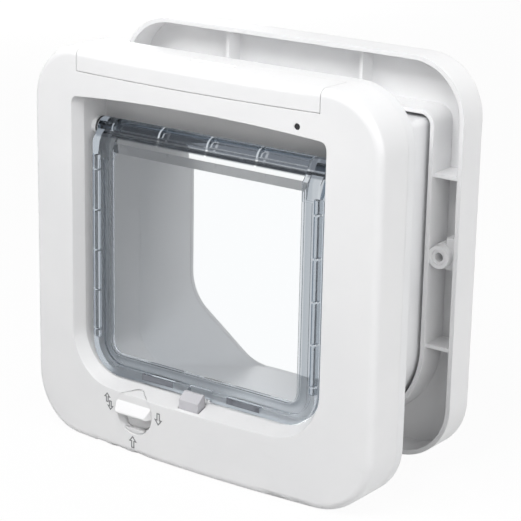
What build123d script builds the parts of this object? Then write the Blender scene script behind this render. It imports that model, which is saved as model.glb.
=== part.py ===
from build123d import *
from math import pi, sqrt
import os

# Cat flap with an electronic latch: inside unit, tunnel and outside frame.
# Millimetres. X to the right seen from the room, Y through the door towards the
# outside, Z up. Depths are measured back from the middle of the unit's crowned face.

os.makedirs("parts", exist_ok=True)

# Frames
frame_width = 210.0
frame_height = 204.0
frame_corner = 30.0
wall = 2.0
edge_round = 4.0
face_crown = 7.0
seam_depth = 28.7
unit_depth = 34.5
door_gap = 42.5
outside_depth = 18.4
outside_rise = 5.6
lip_proud = 2.8

# Mouth, flap chamber and passage
side_margin = 28.0
header_margin = 20.6
mouth_floor = 31.6
mouth_arch = 3.7
mouth_corner = 27.0
mouth_top_corner = 4.0
bevel_depth = 10.0
bevel_in = 3.0
throat_floor = 35.2
throat_corner = 24.0
chamber_corner = 21.0
header_depth = 26.5
header_wall = 2.2
side_ledge = 3.4
header_drop = 18.9
passage_exit_floor = 25.4
ceiling_round = 3.0
liner_joint = 50.0
near_cut = 12.0
near_round = 14.0
far_cut_x = 43.0
far_cut_z = 31.0
far_round = 25.0

# Tunnel through the door
tunnel_side_room = 14.2
tunnel_top_room = 15.3
tunnel_low = 20.4
tunnel_low_round = 44.0
tunnel_top_round = 3.2
tunnel_gap = 0.2

# Outside frame
rim_wall = 2.4
plate = 2.4
outside_edge_round = 2.0
collar_gap = 2.2
collar_wall = 2.2
collar_lead = 1.0
rib_wall = 2.0
side_rib_lift = 1.9
side_rib_spread = 43.3
side_rib_set_back = 0.6
end_rib_reach = 41.2
end_rib_set_back = 7.0

# Fixing screws that clamp the two halves on the door
fixing_inset = 10.8
fixing_lift = 4.9
fixing_hole = 4.5
fixing_boss = 13.0
fixing_tip = 11.5
fixing_tip_length = 4.3
fixing_dish = 7.6
fixing_dish_depth = 0.7
fixing_web_low = 6.5
fixing_web_high = 9.5
fixing_web_set_back = 4.0
fixing_web_start = 2.0
fixing_head = 9.0
fixing_head_depth = 6.0
fixing_socket = 3.5
fixing_socket_boss = 10.0
fixing_socket_length = 10.5

# Screws that close the unit's two shells
shell_screw_inset = 7.5
shell_screw_low = 34.0
shell_screw_drop = 26.0
shell_screw_core = 2.44
shell_screw_hole = 2.5
shell_screw_bite = 10.0
shell_screw_spare = 0.3
shell_screw_passing = 3.2
shell_screw_head = 5.6
shell_screw_head_depth = 2.0
shell_screw_pocket = 6.2
shell_boss = 7.0
shell_pocket_boss = 8.6
shell_pocket_floor = 2.0

# Flap
flap_side_gap = 1.3
flap_low = 36.0
flap_corner = 17.0
flap_front = 10.9
rim_width = 4.4
rim_depth = 6.3
band_width = 10.7
band_front = 11.5
band_depth = 4.4
pane_front = 12.3
pane_thick = 2.6
hinge_depth = 20.0
hinge_drop = 1.8
tube_radius = 5.3
tube_core = 2.4
tube_rib_pitch = 30.0
tube_rib_wall = 1.2
tube_trough_drop = 0.5
tube_trough_back = 1.0
ear_width = 10.0
ear_height = 14.7
ear_back = 1.0
groove_inset = 1.1
groove_width = 2.2
groove_depth = 3.4
groove_low = 54.0
groove_past_ear = 2.0
tick_wall = 1.0
tick_pitch = 21.1
tick_first = 58.0
hinge_pin = 3.0
pin_clearance = 0.05
pin_reach = 7.0
pin_head = 6.0
pin_head_depth = 1.2
hinge_boss = 9.0
hinge_gap = 0.3

# Magnets in the flap's bottom rim and under the sill
magnet_start = 17.0
magnet_length = 20.0
magnet_height = 3.0
magnet_depth = 3.0
magnet_lift = 3.1
magnet_gap = 0.1
sill_magnet_set_back = 1.0
sill_magnet_depth = 2.6
sill_magnet_height = 2.6
sill_magnet_gap = 0.3

# Latch
catch_half = 6.0
catch_face_gap = 0.2
catch_back = 7.8
catch_shoulder = 36.9
catch_top = 40.4
catch_slope_back = 6.5
catch_foot_top = 26.8
catch_foot_low = 23.8
catch_foot_back = 18.0
catch_slot_gap = 0.3
catch_side_gap = 0.7
notch_half = 7.0
notch_height = 5.5
notch_depth = 2.2
plunger = 6.0
plunger_depth = 14.0
plunger_low = 11.0
plunger_gap = 0.3
solenoid_half = 11.0
solenoid_front = 6.0
solenoid_back = 22.0
solenoid_top = 17.0
solenoid_seat = 0.2
solenoid_plate = 1.6
solenoid_coil = 14.4
solenoid_bore_floor = 4.0

# Manual lock
knob_x = -34.0
knob_level = 23.4
dish = 24.0
dish_depth = 3.2
dish_collar = 27.0
dish_collar_back = 7.0
knob = 20.6
knob_gap = 0.3
knob_face = 0.9
knob_back = 8.4
lip_drop = 1.4
lip_edge = 1.2
lip_round = 0.7
lip_end_round = 1.6
lip_rise = 5.2
lip_root = 0.5
lip_half = 11.6
lip_front_half = 9.6
scoop_deep = 7.0
scoop_shallow = 4.6
scoop_low = 8.8
scoop_ledge = 1.0
scoop_rim = 3.2
scoop_rim_low = 10.9
stem = 8.0
stem_tip = 4.0
bracket_front = 11.8
bracket_wall = 2.0
bracket_top = 29.2
crank = 15.0
crank_gap = 0.3
crank_wall = 2.0
crank_throw = 4.0
crank_pin = 2.4
crank_pin_past = 0.5
bolt_front = 17.7
bolt_wall = 2.4
bolt_half = 8.0
bolt_low = 16.0
bolt_shoulder = 27.8
bolt_top = 34.0
tongue_half = 3.5
bolt_gap = 0.3
slot_slack = 1.3
slot_end_slack = 0.4

# Battery bay under the cover
cover_side_margin = 20.3
cover_height = 11.0
cover_back = 24.0
cover_gap = 0.3
cover_grip_length = 26.0
cover_grip_width = 5.0
cover_grip_depth = 0.8
cell = 14.0
cell_length = 50.3
cell_nub = 5.4
cell_nub_length = 1.4
cell_seat = 0.3
cell_cover_gap = 0.45
cell_pitch = 14.1
cell_contact_gap = 0.1
contact_sheet = 0.4
contact_width = 9.0
contact_height = 9.0
leaf_spread = 2.2
tray_seat = 0.3
tray_floor = 1.1
tray_end_wall = 1.4
tray_head_room = 0.8
tray_ridge_width = 5.0
tray_ridge_height = 1.6
panel_margin = 0.9
panel_lift = 1.8
panel_room = 1.7
panel_wall = 1.6

# Control board
board_depth = 14.0
board_wall = 1.4
board_side_gap = 2.5
board_width = 14.0
board_low = 60.0
board_arm_gap = 0.8
board_arm_past_lens = 2.9
board_top_gap = 4.0
board_shoulder_in = 8.5
board_shoulder_drop = 18.0
post = 6.0
post_in = 8.5
post_low_lift = 15.0
post_high_drop = 39.0
lens_margin = 8.8
lens_lift = 1.8
lens = 3.0
lens_gap = 0.05
lens_set_back = 0.2
lens_back = 12.2
led_size = 3.0
led_lift = 0.7
led_height = 1.6
button_margin = 6.5
button_lift = 0.5
button = 5.0
button_gap = 0.15
button_cover_gap = 0.25
button_flange = 7.0
button_flange_wall = 0.9
button_tail = 3.0
button_tail_back = 10.0
switch_size = 6.0
switch_height = 2.8

# Reader coil
coil_back = 45.0
coil_width = 8.0
coil_build = 3.0
coil_gap = 0.3

# Reach of a cut past the surface it opens
past = 5.0


def crown_fall(x):
    """How far the crowned face has fallen back at a distance from the middle."""
    crown_radius = ((frame_width / 2) ** 2 + face_crown**2) / (2 * face_crown)
    return crown_radius - sqrt(crown_radius**2 - x**2)


# Depths that follow
back_depth = unit_depth + door_gap + outside_depth
box_middle = (back_depth - lip_proud) / 2
rim_front = unit_depth + door_gap
plate_front = back_depth - plate
rib_back = plate_front + plate / 4
tunnel_end = plate_front - tunnel_gap
plate_inside = unit_depth - wall

# Widths and levels that follow
mouth_half = frame_width / 2 - side_margin
mouth_top = frame_height - header_margin
throat_half = mouth_half - bevel_in
passage_half = throat_half - side_ledge
passage_ceiling = mouth_top - header_drop
tunnel_half = passage_half + tunnel_side_room
tunnel_top = passage_ceiling + tunnel_top_room
fixing_reach = frame_width / 2 - fixing_inset
fixing_level = outside_rise + frame_height / 2 + fixing_lift
catch_front = wall + catch_face_gap
side_rib_middle = outside_rise + frame_height / 2 + side_rib_lift
side_rib_levels = (side_rib_middle - side_rib_spread, side_rib_middle + side_rib_spread)
shell_screw_reach = frame_width / 2 - shell_screw_inset
shell_screw_levels = (shell_screw_low, frame_height - shell_screw_drop)
flap_half = passage_half - flap_side_gap
hinge_level = passage_ceiling - hinge_drop
ear_low = hinge_level - ear_height
groove_high = ear_low + groove_past_ear
tick_count = int((groove_high - tick_first) // tick_pitch) + 1
magnet_level = flap_low + magnet_lift
sill_magnet_front = bevel_depth + sill_magnet_set_back

# Battery bay and board that follow
cover_low = frame_height - cover_height
tray_floor_low = mouth_top + wall + tray_seat
cell_level = tray_floor_low + tray_floor + cell_seat + cell / 2
contact_half = contact_sheet / 2
cell_end = contact_half + cell_contact_gap + cell_length
tray_right = cell_end + 2 * cell_contact_gap + contact_sheet
tray_end = tray_right + tray_end_wall
cover_half = tray_end + cover_side_margin
cell_front = crown_fall(cell_end) + wall + cell_cover_gap
cell_rows = (cell_front + cell / 2, cell_front + cell / 2 + cell_pitch)
tray_front = cell_front + tray_seat
tray_back = plate_inside - tray_seat
tray_wall_top = frame_height - wall - tray_head_room
panel_end = cover_half - panel_margin
panel_low = tray_floor_low + panel_lift
panel_front = crown_fall(panel_end) + wall + panel_room
lens_x = tray_end + lens_margin
lens_level = mouth_top + lens_lift
led_level = lens_level + led_lift
button_x = panel_end - button_margin
button_level = cell_level + button_lift
button_front = crown_fall(button_x + button / 2) + wall + button_cover_gap
board_near = throat_half + wall + board_side_gap
board_far = board_near + board_width
board_arm_low = mouth_top + board_arm_gap
board_arm_end = lens_x - board_arm_past_lens
board_top = frame_height - wall - board_top_gap
board_shoulder_x = board_far - board_shoulder_in
board_shoulder_level = frame_height - board_shoulder_drop
post_x = board_near + post_in
post_levels = (board_low + post_low_lift, frame_height - post_high_drop)

# Axis of the lock knob
knob_axis = Axis((knob_x, 0, knob_level), (0, 1, 0))


def at_depth(depth):
    """Plane that faces the room, at a depth behind the middle of the face."""
    return Plane.XZ.offset(box_middle - depth)


def y_at(depth):
    """Y of a depth."""
    return depth - box_middle


def passage_floor(depth):
    """Level of the sloping floor, which drains towards the outside."""
    fall = (throat_floor - passage_exit_floor) / (back_depth - bevel_depth)
    return throat_floor - fall * (depth - bevel_depth)


def frame_face(depth, inset=0.0, rise=0.0):
    """Rounded outline of either frame."""
    with BuildSketch(at_depth(depth)) as face:
        with Locations((0, rise + frame_height / 2)):
            RectangleRounded(frame_width - 2 * inset, frame_height - 2 * inset, frame_corner - inset)
    return face.sketch


def crown_plan(skin, back):
    """Plan of all that lies behind the crowned face, less a skin, as far as a depth."""
    reach = frame_width
    side = y_at(skin + crown_fall(reach))
    with BuildSketch(Plane.XY.offset(-past)) as plan:
        with BuildLine():
            ThreePointArc((-reach, side), (0, y_at(skin)), (reach, side))
            Polyline((reach, side), (reach, y_at(back) + reach), (-reach, y_at(back) + reach), (-reach, side))
        make_face()
    return plan.sketch


def arched_section(depth, half, floor, corner, grow=0.0):
    """Opening with an arched top edge and rounded lower corners."""
    shoulder = mouth_top - mouth_arch
    with BuildSketch(at_depth(depth)) as section:
        with BuildLine():
            Polyline((-half, shoulder), (-half, floor), (half, floor), (half, shoulder))
            ThreePointArc((half, shoulder), (0, mouth_top), (-half, shoulder))
        make_face()
        fillet(section.vertices().group_by(Axis.Y)[0], corner)
        fillet(section.vertices().group_by(Axis.Y)[-1], mouth_top_corner)
        if grow:
            offset(amount=grow)
    return section.sketch


def bevel_floor(depth):
    """Level of the mouth's bottom bevel."""
    return mouth_floor + (throat_floor - mouth_floor) * depth / bevel_depth


def mouth_section(depth, grow=0.0):
    """The bevelled mouth, which is mouth_half wide where it meets the crowned face."""
    face = crown_fall(mouth_half)
    narrowing = (mouth_half - throat_half) / (bevel_depth - face)
    rounding = (mouth_corner - throat_corner) / bevel_depth
    left = bevel_depth - depth
    return arched_section(
        depth,
        throat_half + narrowing * left,
        bevel_floor(depth),
        throat_corner + rounding * left,
        grow,
    )


def chamber_section(depth, corner, grow=0.0):
    """The flap chamber behind the bevel."""
    return arched_section(depth, throat_half, passage_floor(depth), corner, grow)


def passage_section(depth, cut_x, cut_z, corner, grow=0.0):
    """The passage, with its lower corners cut off and rounded."""
    floor = passage_floor(depth)
    with BuildSketch(at_depth(depth)) as section:
        with BuildLine():
            Polyline(
                (-passage_half, passage_ceiling),
                (-passage_half, floor + cut_z),
                (-passage_half + cut_x, floor),
                (passage_half - cut_x, floor),
                (passage_half, floor + cut_z),
                (passage_half, passage_ceiling),
                close=True,
            )
        make_face()
        fillet(section.vertices().sort_by(Axis.Y)[:4], corner)
        fillet(section.vertices().sort_by(Axis.Y)[-2:], ceiling_round)
        if grow:
            offset(amount=grow)
    return section.sketch


def near_passage(depth, grow=0.0):
    """Section of the front liner."""
    return passage_section(depth, near_cut, near_cut, near_round, grow)


def far_passage(depth, grow=0.0):
    """Section at the outside end."""
    return passage_section(depth, far_cut_x, far_cut_z, far_round, grow)


def tunnel_section(depth, grow=0.0):
    """Outside of the tunnel, as it passes through the door."""
    with BuildSketch(at_depth(depth)) as section:
        with Locations((0, (tunnel_low + tunnel_top) / 2)):
            Rectangle(2 * tunnel_half, tunnel_top - tunnel_low)
        fillet(section.vertices().group_by(Axis.Y)[0], tunnel_low_round)
        fillet(section.vertices().group_by(Axis.Y)[-1], tunnel_top_round)
        if grow:
            offset(amount=grow)
    return section.sketch


def disc(depth, x, level, diameter):
    """Round profile on a plane that faces the room."""
    with BuildSketch(at_depth(depth)) as face:
        with Locations((x, level)):
            Circle(diameter / 2)
    return face.sketch


def slab(depth, x_from, x_to, z_from, z_to):
    """Rectangular profile on a plane that faces the room."""
    with BuildSketch(at_depth(depth)) as face:
        with Locations(((x_from + x_to) / 2, (z_from + z_to) / 2)):
            Rectangle(x_to - x_from, z_to - z_from)
    return face.sketch


def flap_outline(depth, inset=0.0):
    """Outline of the flap below its hinge tube."""
    half = flap_half - inset
    low = flap_low + inset
    with BuildSketch(at_depth(depth)) as face:
        with Locations((0, (low + hinge_level) / 2)):
            Rectangle(2 * half, hinge_level - low)
        fillet(face.vertices().group_by(Axis.Y)[0], flap_corner - inset)
    return face.sketch


def across(x):
    """Plane that faces right, with depth to the right of the sketch and level up."""
    return Plane(origin=(x, -box_middle, 0), x_dir=(0, 1, 0), z_dir=(1, 0, 0))


# Skin shared by the front housing and the battery cover
with BuildPart() as front_skin:
    extrude(frame_face(0), amount=-seam_depth)
    extrude(crown_plan(0, seam_depth), amount=frame_height + 2 * past, mode=Mode.INTERSECT)
    fillet(front_skin.faces().sort_by(Axis.Y)[0].edges(), edge_round)

with BuildPart() as front_hollow:
    extrude(frame_face(0, wall), amount=-seam_depth - past)
    extrude(crown_plan(wall, seam_depth + past), amount=frame_height + 2 * past, mode=Mode.INTERSECT)

# Walls of the mouth, the flap chamber and the front liner, still solid inside
with BuildPart() as throat_walls:
    loft([mouth_section(-past, wall), mouth_section(bevel_depth, wall)], ruled=True)
    loft(
        [chamber_section(bevel_depth, throat_corner, wall), chamber_section(header_depth, chamber_corner, wall)],
        ruled=True,
    )
    extrude(chamber_section(header_depth, chamber_corner, wall), amount=-header_wall)
    loft([near_passage(header_depth, wall), near_passage(liner_joint, wall)], ruled=True)
    extrude(crown_plan(0, liner_joint), amount=frame_height + 2 * past, mode=Mode.INTERSECT)

# Front housing
with BuildPart() as front_housing:
    add(front_skin.part)
    add(front_hollow.part, mode=Mode.SUBTRACT)
    add(throat_walls.part)
    for side in (-1, 1):
        for level in shell_screw_levels:
            extrude(disc(seam_depth, side * shell_screw_reach, level, shell_boss), until=Until.NEXT)
    for level in post_levels:
        extrude(disc(board_depth, post_x, level, post), until=Until.NEXT)
    extrude(disc(dish_collar_back, knob_x, knob_level, dish_collar), until=Until.NEXT)
    loft([mouth_section(-past), mouth_section(bevel_depth)], ruled=True, mode=Mode.SUBTRACT)
    loft(
        [chamber_section(bevel_depth, throat_corner), chamber_section(header_depth, chamber_corner)],
        ruled=True,
        mode=Mode.SUBTRACT,
    )
    loft([near_passage(header_depth), near_passage(liner_joint)], ruled=True, mode=Mode.SUBTRACT)
    for side in (-1, 1):
        with BuildSketch(across(side * throat_half)) as boss_face:
            with Locations((hinge_depth, hinge_level)):
                Circle(hinge_boss / 2)
        extrude(amount=-side * (throat_half - flap_half - hinge_gap))
        with BuildSketch(across(side * (throat_half + wall))) as pin_hole:
            with Locations((hinge_depth, hinge_level)):
                Circle(hinge_pin / 2)
        extrude(amount=-side * (throat_half + wall - flap_half), mode=Mode.SUBTRACT)
        for level in shell_screw_levels:
            extrude(
                disc(seam_depth, side * shell_screw_reach, level, shell_screw_hole),
                amount=shell_screw_bite + cover_gap,
                mode=Mode.SUBTRACT,
            )
    extrude(
        slab(-past, -cover_half - cover_gap, cover_half + cover_gap, cover_low - cover_gap, frame_height + past),
        amount=-past - cover_back - cover_gap,
        mode=Mode.SUBTRACT,
    )
    extrude(disc(-past, lens_x, lens_level, lens + 2 * lens_gap), amount=-past - board_depth, mode=Mode.SUBTRACT)
    with BuildSketch(across(knob_x)) as dish_side:
        with BuildLine():
            Polyline(
                (-past, knob_level),
                (-past, knob_level + dish / 2),
                (knob_face, knob_level + dish / 2),
                (knob_face + dish_depth, knob_level + knob / 2 + knob_gap),
                (bevel_depth, knob_level + knob / 2 + knob_gap),
                (bevel_depth, knob_level),
                close=True,
            )
        make_face()
    revolve(axis=knob_axis, mode=Mode.SUBTRACT)
    extrude(
        slab(
            catch_front - catch_slot_gap,
            -catch_half - catch_side_gap,
            catch_half + catch_side_gap,
            catch_foot_top,
            catch_top,
        ),
        amount=catch_front - catch_back - 2 * catch_slot_gap,
        mode=Mode.SUBTRACT,
    )
    extrude(
        slab(
            bolt_front - bolt_gap,
            knob_x - tongue_half - bolt_gap,
            knob_x + tongue_half + bolt_gap,
            bolt_shoulder,
            bolt_top + wall,
        ),
        amount=-bolt_wall - 2 * bolt_gap,
        mode=Mode.SUBTRACT,
    )
front_housing.part.label = "front_housing"
export_step(front_housing.part, "parts/front_housing.step")

# Battery cover, cut from the same skin
with BuildPart() as battery_cover:
    add(front_skin.part)
    add(front_hollow.part, mode=Mode.SUBTRACT)
    extrude(
        slab(-past, -cover_half, cover_half, cover_low, frame_height + past),
        amount=-past - cover_back,
        mode=Mode.INTERSECT,
    )
    with BuildSketch(Plane.XY.offset(frame_height)) as grip:
        with Locations((0, y_at(cover_back - cover_grip_width))):
            SlotOverall(cover_grip_length, cover_grip_width)
    extrude(amount=-cover_grip_depth, mode=Mode.SUBTRACT)
battery_cover.part.label = "battery_cover"
export_step(battery_cover.part, "parts/battery_cover.step")

# Back shell with the tunnel
with BuildPart() as tunnel_housing:
    extrude(frame_face(seam_depth), amount=seam_depth - unit_depth)
    extrude(frame_face(seam_depth, wall), amount=seam_depth - plate_inside, mode=Mode.SUBTRACT)
    for side in (-1, 1):
        extrude(disc(plate_inside, side * fixing_reach, fixing_level, fixing_socket_boss), amount=fixing_socket_length)
        for level in shell_screw_levels:
            extrude(
                disc(plate_inside, side * shell_screw_reach, level, shell_pocket_boss),
                amount=plate_inside - seam_depth,
            )
    extrude(tunnel_section(plate_inside), amount=plate_inside - tunnel_end)
    extrude(tunnel_section(seam_depth, -wall), amount=seam_depth - tunnel_end + plate, mode=Mode.SUBTRACT)
    loft([near_passage(liner_joint, wall), far_passage(tunnel_end, wall)], ruled=True)
    loft([near_passage(liner_joint), far_passage(tunnel_end)], ruled=True, mode=Mode.SUBTRACT)
    for side in (-1, 1):
        extrude(
            disc(unit_depth, side * fixing_reach, fixing_level, fixing_socket),
            amount=fixing_socket_length,
            mode=Mode.SUBTRACT,
        )
        for level in shell_screw_levels:
            extrude(
                disc(unit_depth, side * shell_screw_reach, level, shell_screw_pocket),
                amount=unit_depth - seam_depth - shell_pocket_floor,
                mode=Mode.SUBTRACT,
            )
            extrude(
                disc(unit_depth, side * shell_screw_reach, level, shell_screw_passing),
                amount=unit_depth - seam_depth,
                mode=Mode.SUBTRACT,
            )
tunnel_housing.part.label = "tunnel_housing"
export_step(tunnel_housing.part, "parts/tunnel_housing.step")

# Screws that close the shells
with BuildPart() as housing_screws:
    for side in (-1, 1):
        for level in shell_screw_levels:
            head_seat = seam_depth + shell_pocket_floor
            extrude(
                disc(head_seat, side * shell_screw_reach, level, shell_screw_head),
                amount=-shell_screw_head_depth,
            )
            extrude(
                disc(head_seat, side * shell_screw_reach, level, shell_screw_core),
                amount=shell_pocket_floor + shell_screw_bite,
            )
housing_screws.part.label = "housing_screws"
export_step(housing_screws.part, "parts/housing_screws.step")

# Outside frame: rim, face plate, collar, ribs and screw bosses
with BuildPart() as outside_frame:
    extrude(frame_face(rim_front, 0, outside_rise), amount=rim_front - back_depth)
    fillet(outside_frame.faces().sort_by(Axis.Y)[-1].edges(), outside_edge_round)
    extrude(frame_face(rim_front, rim_wall, outside_rise), amount=rim_front - plate_front, mode=Mode.SUBTRACT)
    extrude(
        tunnel_section(rim_front - collar_lead, collar_gap + collar_wall),
        amount=rim_front - collar_lead - back_depth,
    )
    for level in side_rib_levels:
        extrude(
            slab(
                rim_front + side_rib_set_back,
                -frame_width / 2 + rim_wall / 2,
                frame_width / 2 - rim_wall / 2,
                level - rib_wall / 2,
                level + rib_wall / 2,
            ),
            amount=rim_front + side_rib_set_back - rib_back,
        )
    for side in (-1, 1):
        extrude(
            slab(
                rim_front + end_rib_set_back,
                side * end_rib_reach - rib_wall / 2,
                side * end_rib_reach + rib_wall / 2,
                outside_rise + rim_wall / 2,
                outside_rise + frame_height - rim_wall / 2,
            ),
            amount=rim_front + end_rib_set_back - rib_back,
        )
        extrude(disc(rim_front, side * fixing_reach, fixing_level, fixing_tip), amount=rim_front - rib_back)
        extrude(
            disc(rim_front + fixing_tip_length, side * fixing_reach, fixing_level, fixing_boss),
            amount=rim_front + fixing_tip_length - rib_back,
        )
        web = sorted((side * (fixing_reach + fixing_web_start), side * (frame_width - rim_wall) / 2))
        extrude(
            slab(
                rim_front + fixing_web_set_back,
                web[0],
                web[1],
                fixing_level - fixing_web_low,
                fixing_level + fixing_web_high,
            ),
            amount=rim_front + fixing_web_set_back - rib_back,
        )
    extrude(
        tunnel_section(rim_front - past, collar_gap),
        amount=rim_front - past - plate_front,
        mode=Mode.SUBTRACT,
    )
    extrude(far_passage(tunnel_end), amount=tunnel_end - back_depth, mode=Mode.SUBTRACT)
    for side in (-1, 1):
        extrude(
            disc(rim_front, side * fixing_reach, fixing_level, fixing_hole),
            amount=rim_front - back_depth,
            mode=Mode.SUBTRACT,
        )
        extrude(
            disc(rim_front, side * fixing_reach, fixing_level, fixing_dish),
            amount=-fixing_dish_depth,
            mode=Mode.SUBTRACT,
        )
        extrude(
            disc(back_depth, side * fixing_reach, fixing_level, fixing_head),
            amount=fixing_head_depth,
            mode=Mode.SUBTRACT,
        )
outside_frame.part.label = "outside_frame"
export_step(outside_frame.part, "parts/outside_frame.step")

# Clear flap
with BuildPart() as flap:
    extrude(flap_outline(pane_front), amount=-pane_thick)
    with BuildSketch(at_depth(band_front)) as band:
        add(flap_outline(band_front))
        add(flap_outline(band_front, band_width), mode=Mode.SUBTRACT)
    extrude(amount=-band_depth)
    with BuildSketch(at_depth(flap_front)) as rim:
        add(flap_outline(flap_front))
        add(flap_outline(flap_front, rim_width), mode=Mode.SUBTRACT)
    extrude(amount=-rim_depth)
    extrude(
        slab(flap_front - past, -flap_half, flap_half, hinge_level - tube_radius, hinge_level + past),
        amount=-past - rim_depth - past,
        mode=Mode.SUBTRACT,
    )
    with BuildSketch(across(-flap_half)) as tube:
        with Locations((hinge_depth, hinge_level)):
            Circle(tube_radius)
    extrude(amount=2 * flap_half)
    with BuildSketch(across(-flap_half)) as web:
        with BuildLine():
            Polyline(
                (pane_front, hinge_level - 2 * tube_radius),
                (pane_front + pane_thick, hinge_level - 2 * tube_radius),
                (hinge_depth, hinge_level - tube_radius),
                (hinge_depth, hinge_level),
                (pane_front + pane_thick, hinge_level),
                (pane_front, hinge_level - tube_radius),
                close=True,
            )
        make_face()
    extrude(amount=2 * flap_half)
    for start in (-flap_half, flap_half - ear_width):
        with BuildSketch(across(start)) as ear:
            with BuildLine():
                Polyline(
                    (flap_front, ear_low),
                    (flap_front + rim_depth, ear_low),
                    (hinge_depth + ear_back, hinge_level - tube_radius),
                    (hinge_depth, hinge_level),
                    (hinge_depth - tube_radius, hinge_level),
                    (flap_front, hinge_level - tube_radius),
                    close=True,
                )
            make_face()
        extrude(amount=ear_width)
    for bay in range(-2, 2):
        with BuildSketch(across(bay * tube_rib_pitch + tube_rib_wall / 2)) as trough:
            with BuildLine():
                Polyline(
                    (hinge_depth - tube_radius, hinge_level + tube_trough_drop),
                    (hinge_depth + tube_trough_back, hinge_level + tube_trough_drop),
                    (hinge_depth + tube_trough_back, hinge_level + tube_radius),
                    (hinge_depth - tube_radius, hinge_level + tube_radius),
                    close=True,
                )
            make_face()
            with Locations((hinge_depth, hinge_level)):
                Circle(tube_core, mode=Mode.SUBTRACT)
        extrude(amount=tube_rib_pitch - tube_rib_wall, mode=Mode.SUBTRACT)
    for side in (-1, 1):
        inner = side * (flap_half - groove_inset - groove_width)
        outer = side * (flap_half - groove_inset)
        extrude(
            slab(flap_front, min(inner, outer), max(inner, outer), groove_low, groove_high),
            amount=-groove_depth,
            mode=Mode.SUBTRACT,
        )
        for tick in range(tick_count):
            level = tick_first + tick * tick_pitch
            extrude(
                slab(flap_front, min(inner, outer), max(inner, outer), level - tick_wall / 2, level + tick_wall / 2),
                amount=-groove_depth,
            )
        magnet_middle = side * (magnet_start + magnet_length / 2)
        extrude(
            slab(
                flap_front,
                magnet_middle - magnet_length / 2 - magnet_gap,
                magnet_middle + magnet_length / 2 + magnet_gap,
                magnet_level - magnet_height / 2 - magnet_gap,
                magnet_level + magnet_height / 2 + magnet_gap,
            ),
            amount=-magnet_depth - magnet_gap,
            mode=Mode.SUBTRACT,
        )
        with BuildSketch(across(side * flap_half)) as pin_bore:
            with Locations((hinge_depth, hinge_level)):
                Circle(hinge_pin / 2 + pin_clearance)
        extrude(amount=-side * (pin_reach + hinge_gap), mode=Mode.SUBTRACT)
    extrude(
        slab(flap_front, -notch_half, notch_half, flap_low, flap_low + notch_height),
        amount=-notch_depth,
        mode=Mode.SUBTRACT,
    )
flap.part.label = "flap"
export_step(flap.part, "parts/flap.step")

# Magnet bars in the flap's bottom rim
with BuildPart() as flap_magnets:
    for side in (-1, 1):
        magnet_middle = side * (magnet_start + magnet_length / 2)
        extrude(
            slab(
                flap_front,
                magnet_middle - magnet_length / 2,
                magnet_middle + magnet_length / 2,
                magnet_level - magnet_height / 2,
                magnet_level + magnet_height / 2,
            ),
            amount=-magnet_depth,
        )
flap_magnets.part.label = "flap_magnets"
export_step(flap_magnets.part, "parts/flap_magnets.step")

# Magnet bars under the sill, in line with those in the flap
with BuildPart() as sill_magnets:
    sill_magnet_top = passage_floor(sill_magnet_front + sill_magnet_depth) - wall - sill_magnet_gap
    for side in (-1, 1):
        magnet_middle = side * (magnet_start + magnet_length / 2)
        extrude(
            slab(
                sill_magnet_front,
                magnet_middle - magnet_length / 2,
                magnet_middle + magnet_length / 2,
                sill_magnet_top - sill_magnet_height,
                sill_magnet_top,
            ),
            amount=-sill_magnet_depth,
        )
sill_magnets.part.label = "sill_magnets"
export_step(sill_magnets.part, "parts/sill_magnets.step")

# Pins that carry the flap
with BuildPart() as hinge_pins:
    for side in (-1, 1):
        with BuildSketch(across(side * (throat_half + wall))) as pin:
            with Locations((hinge_depth, hinge_level)):
                Circle(hinge_pin / 2)
        extrude(amount=-side * (throat_half + wall - flap_half + pin_reach))
        with BuildSketch(across(side * (throat_half + wall))) as pin_head_face:
            with Locations((hinge_depth, hinge_level)):
                Circle(pin_head / 2)
        extrude(amount=side * pin_head_depth)
hinge_pins.part.label = "hinge_pins"
export_step(hinge_pins.part, "parts/hinge_pins.step")

# Catch in front of the flap's bottom edge, with its plunger
with BuildPart() as latch_catch:
    with BuildSketch(across(-catch_half)) as catch_side:
        with BuildLine():
            Polyline(
                (catch_front, catch_foot_low),
                (catch_foot_back, catch_foot_low),
                (catch_foot_back, catch_foot_top),
                (catch_back, catch_foot_top),
                (catch_back, catch_top),
                (catch_slope_back, catch_top),
                (catch_front, catch_shoulder),
                close=True,
            )
        make_face()
    extrude(amount=2 * catch_half)
    with BuildSketch(Plane.XY.offset(catch_foot_low)) as plunger_face:
        with Locations((0, y_at(plunger_depth))):
            Circle(plunger / 2)
    extrude(amount=plunger_low - catch_foot_low)
latch_catch.part.label = "latch_catch"
export_step(latch_catch.part, "parts/latch_catch.step")

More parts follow.
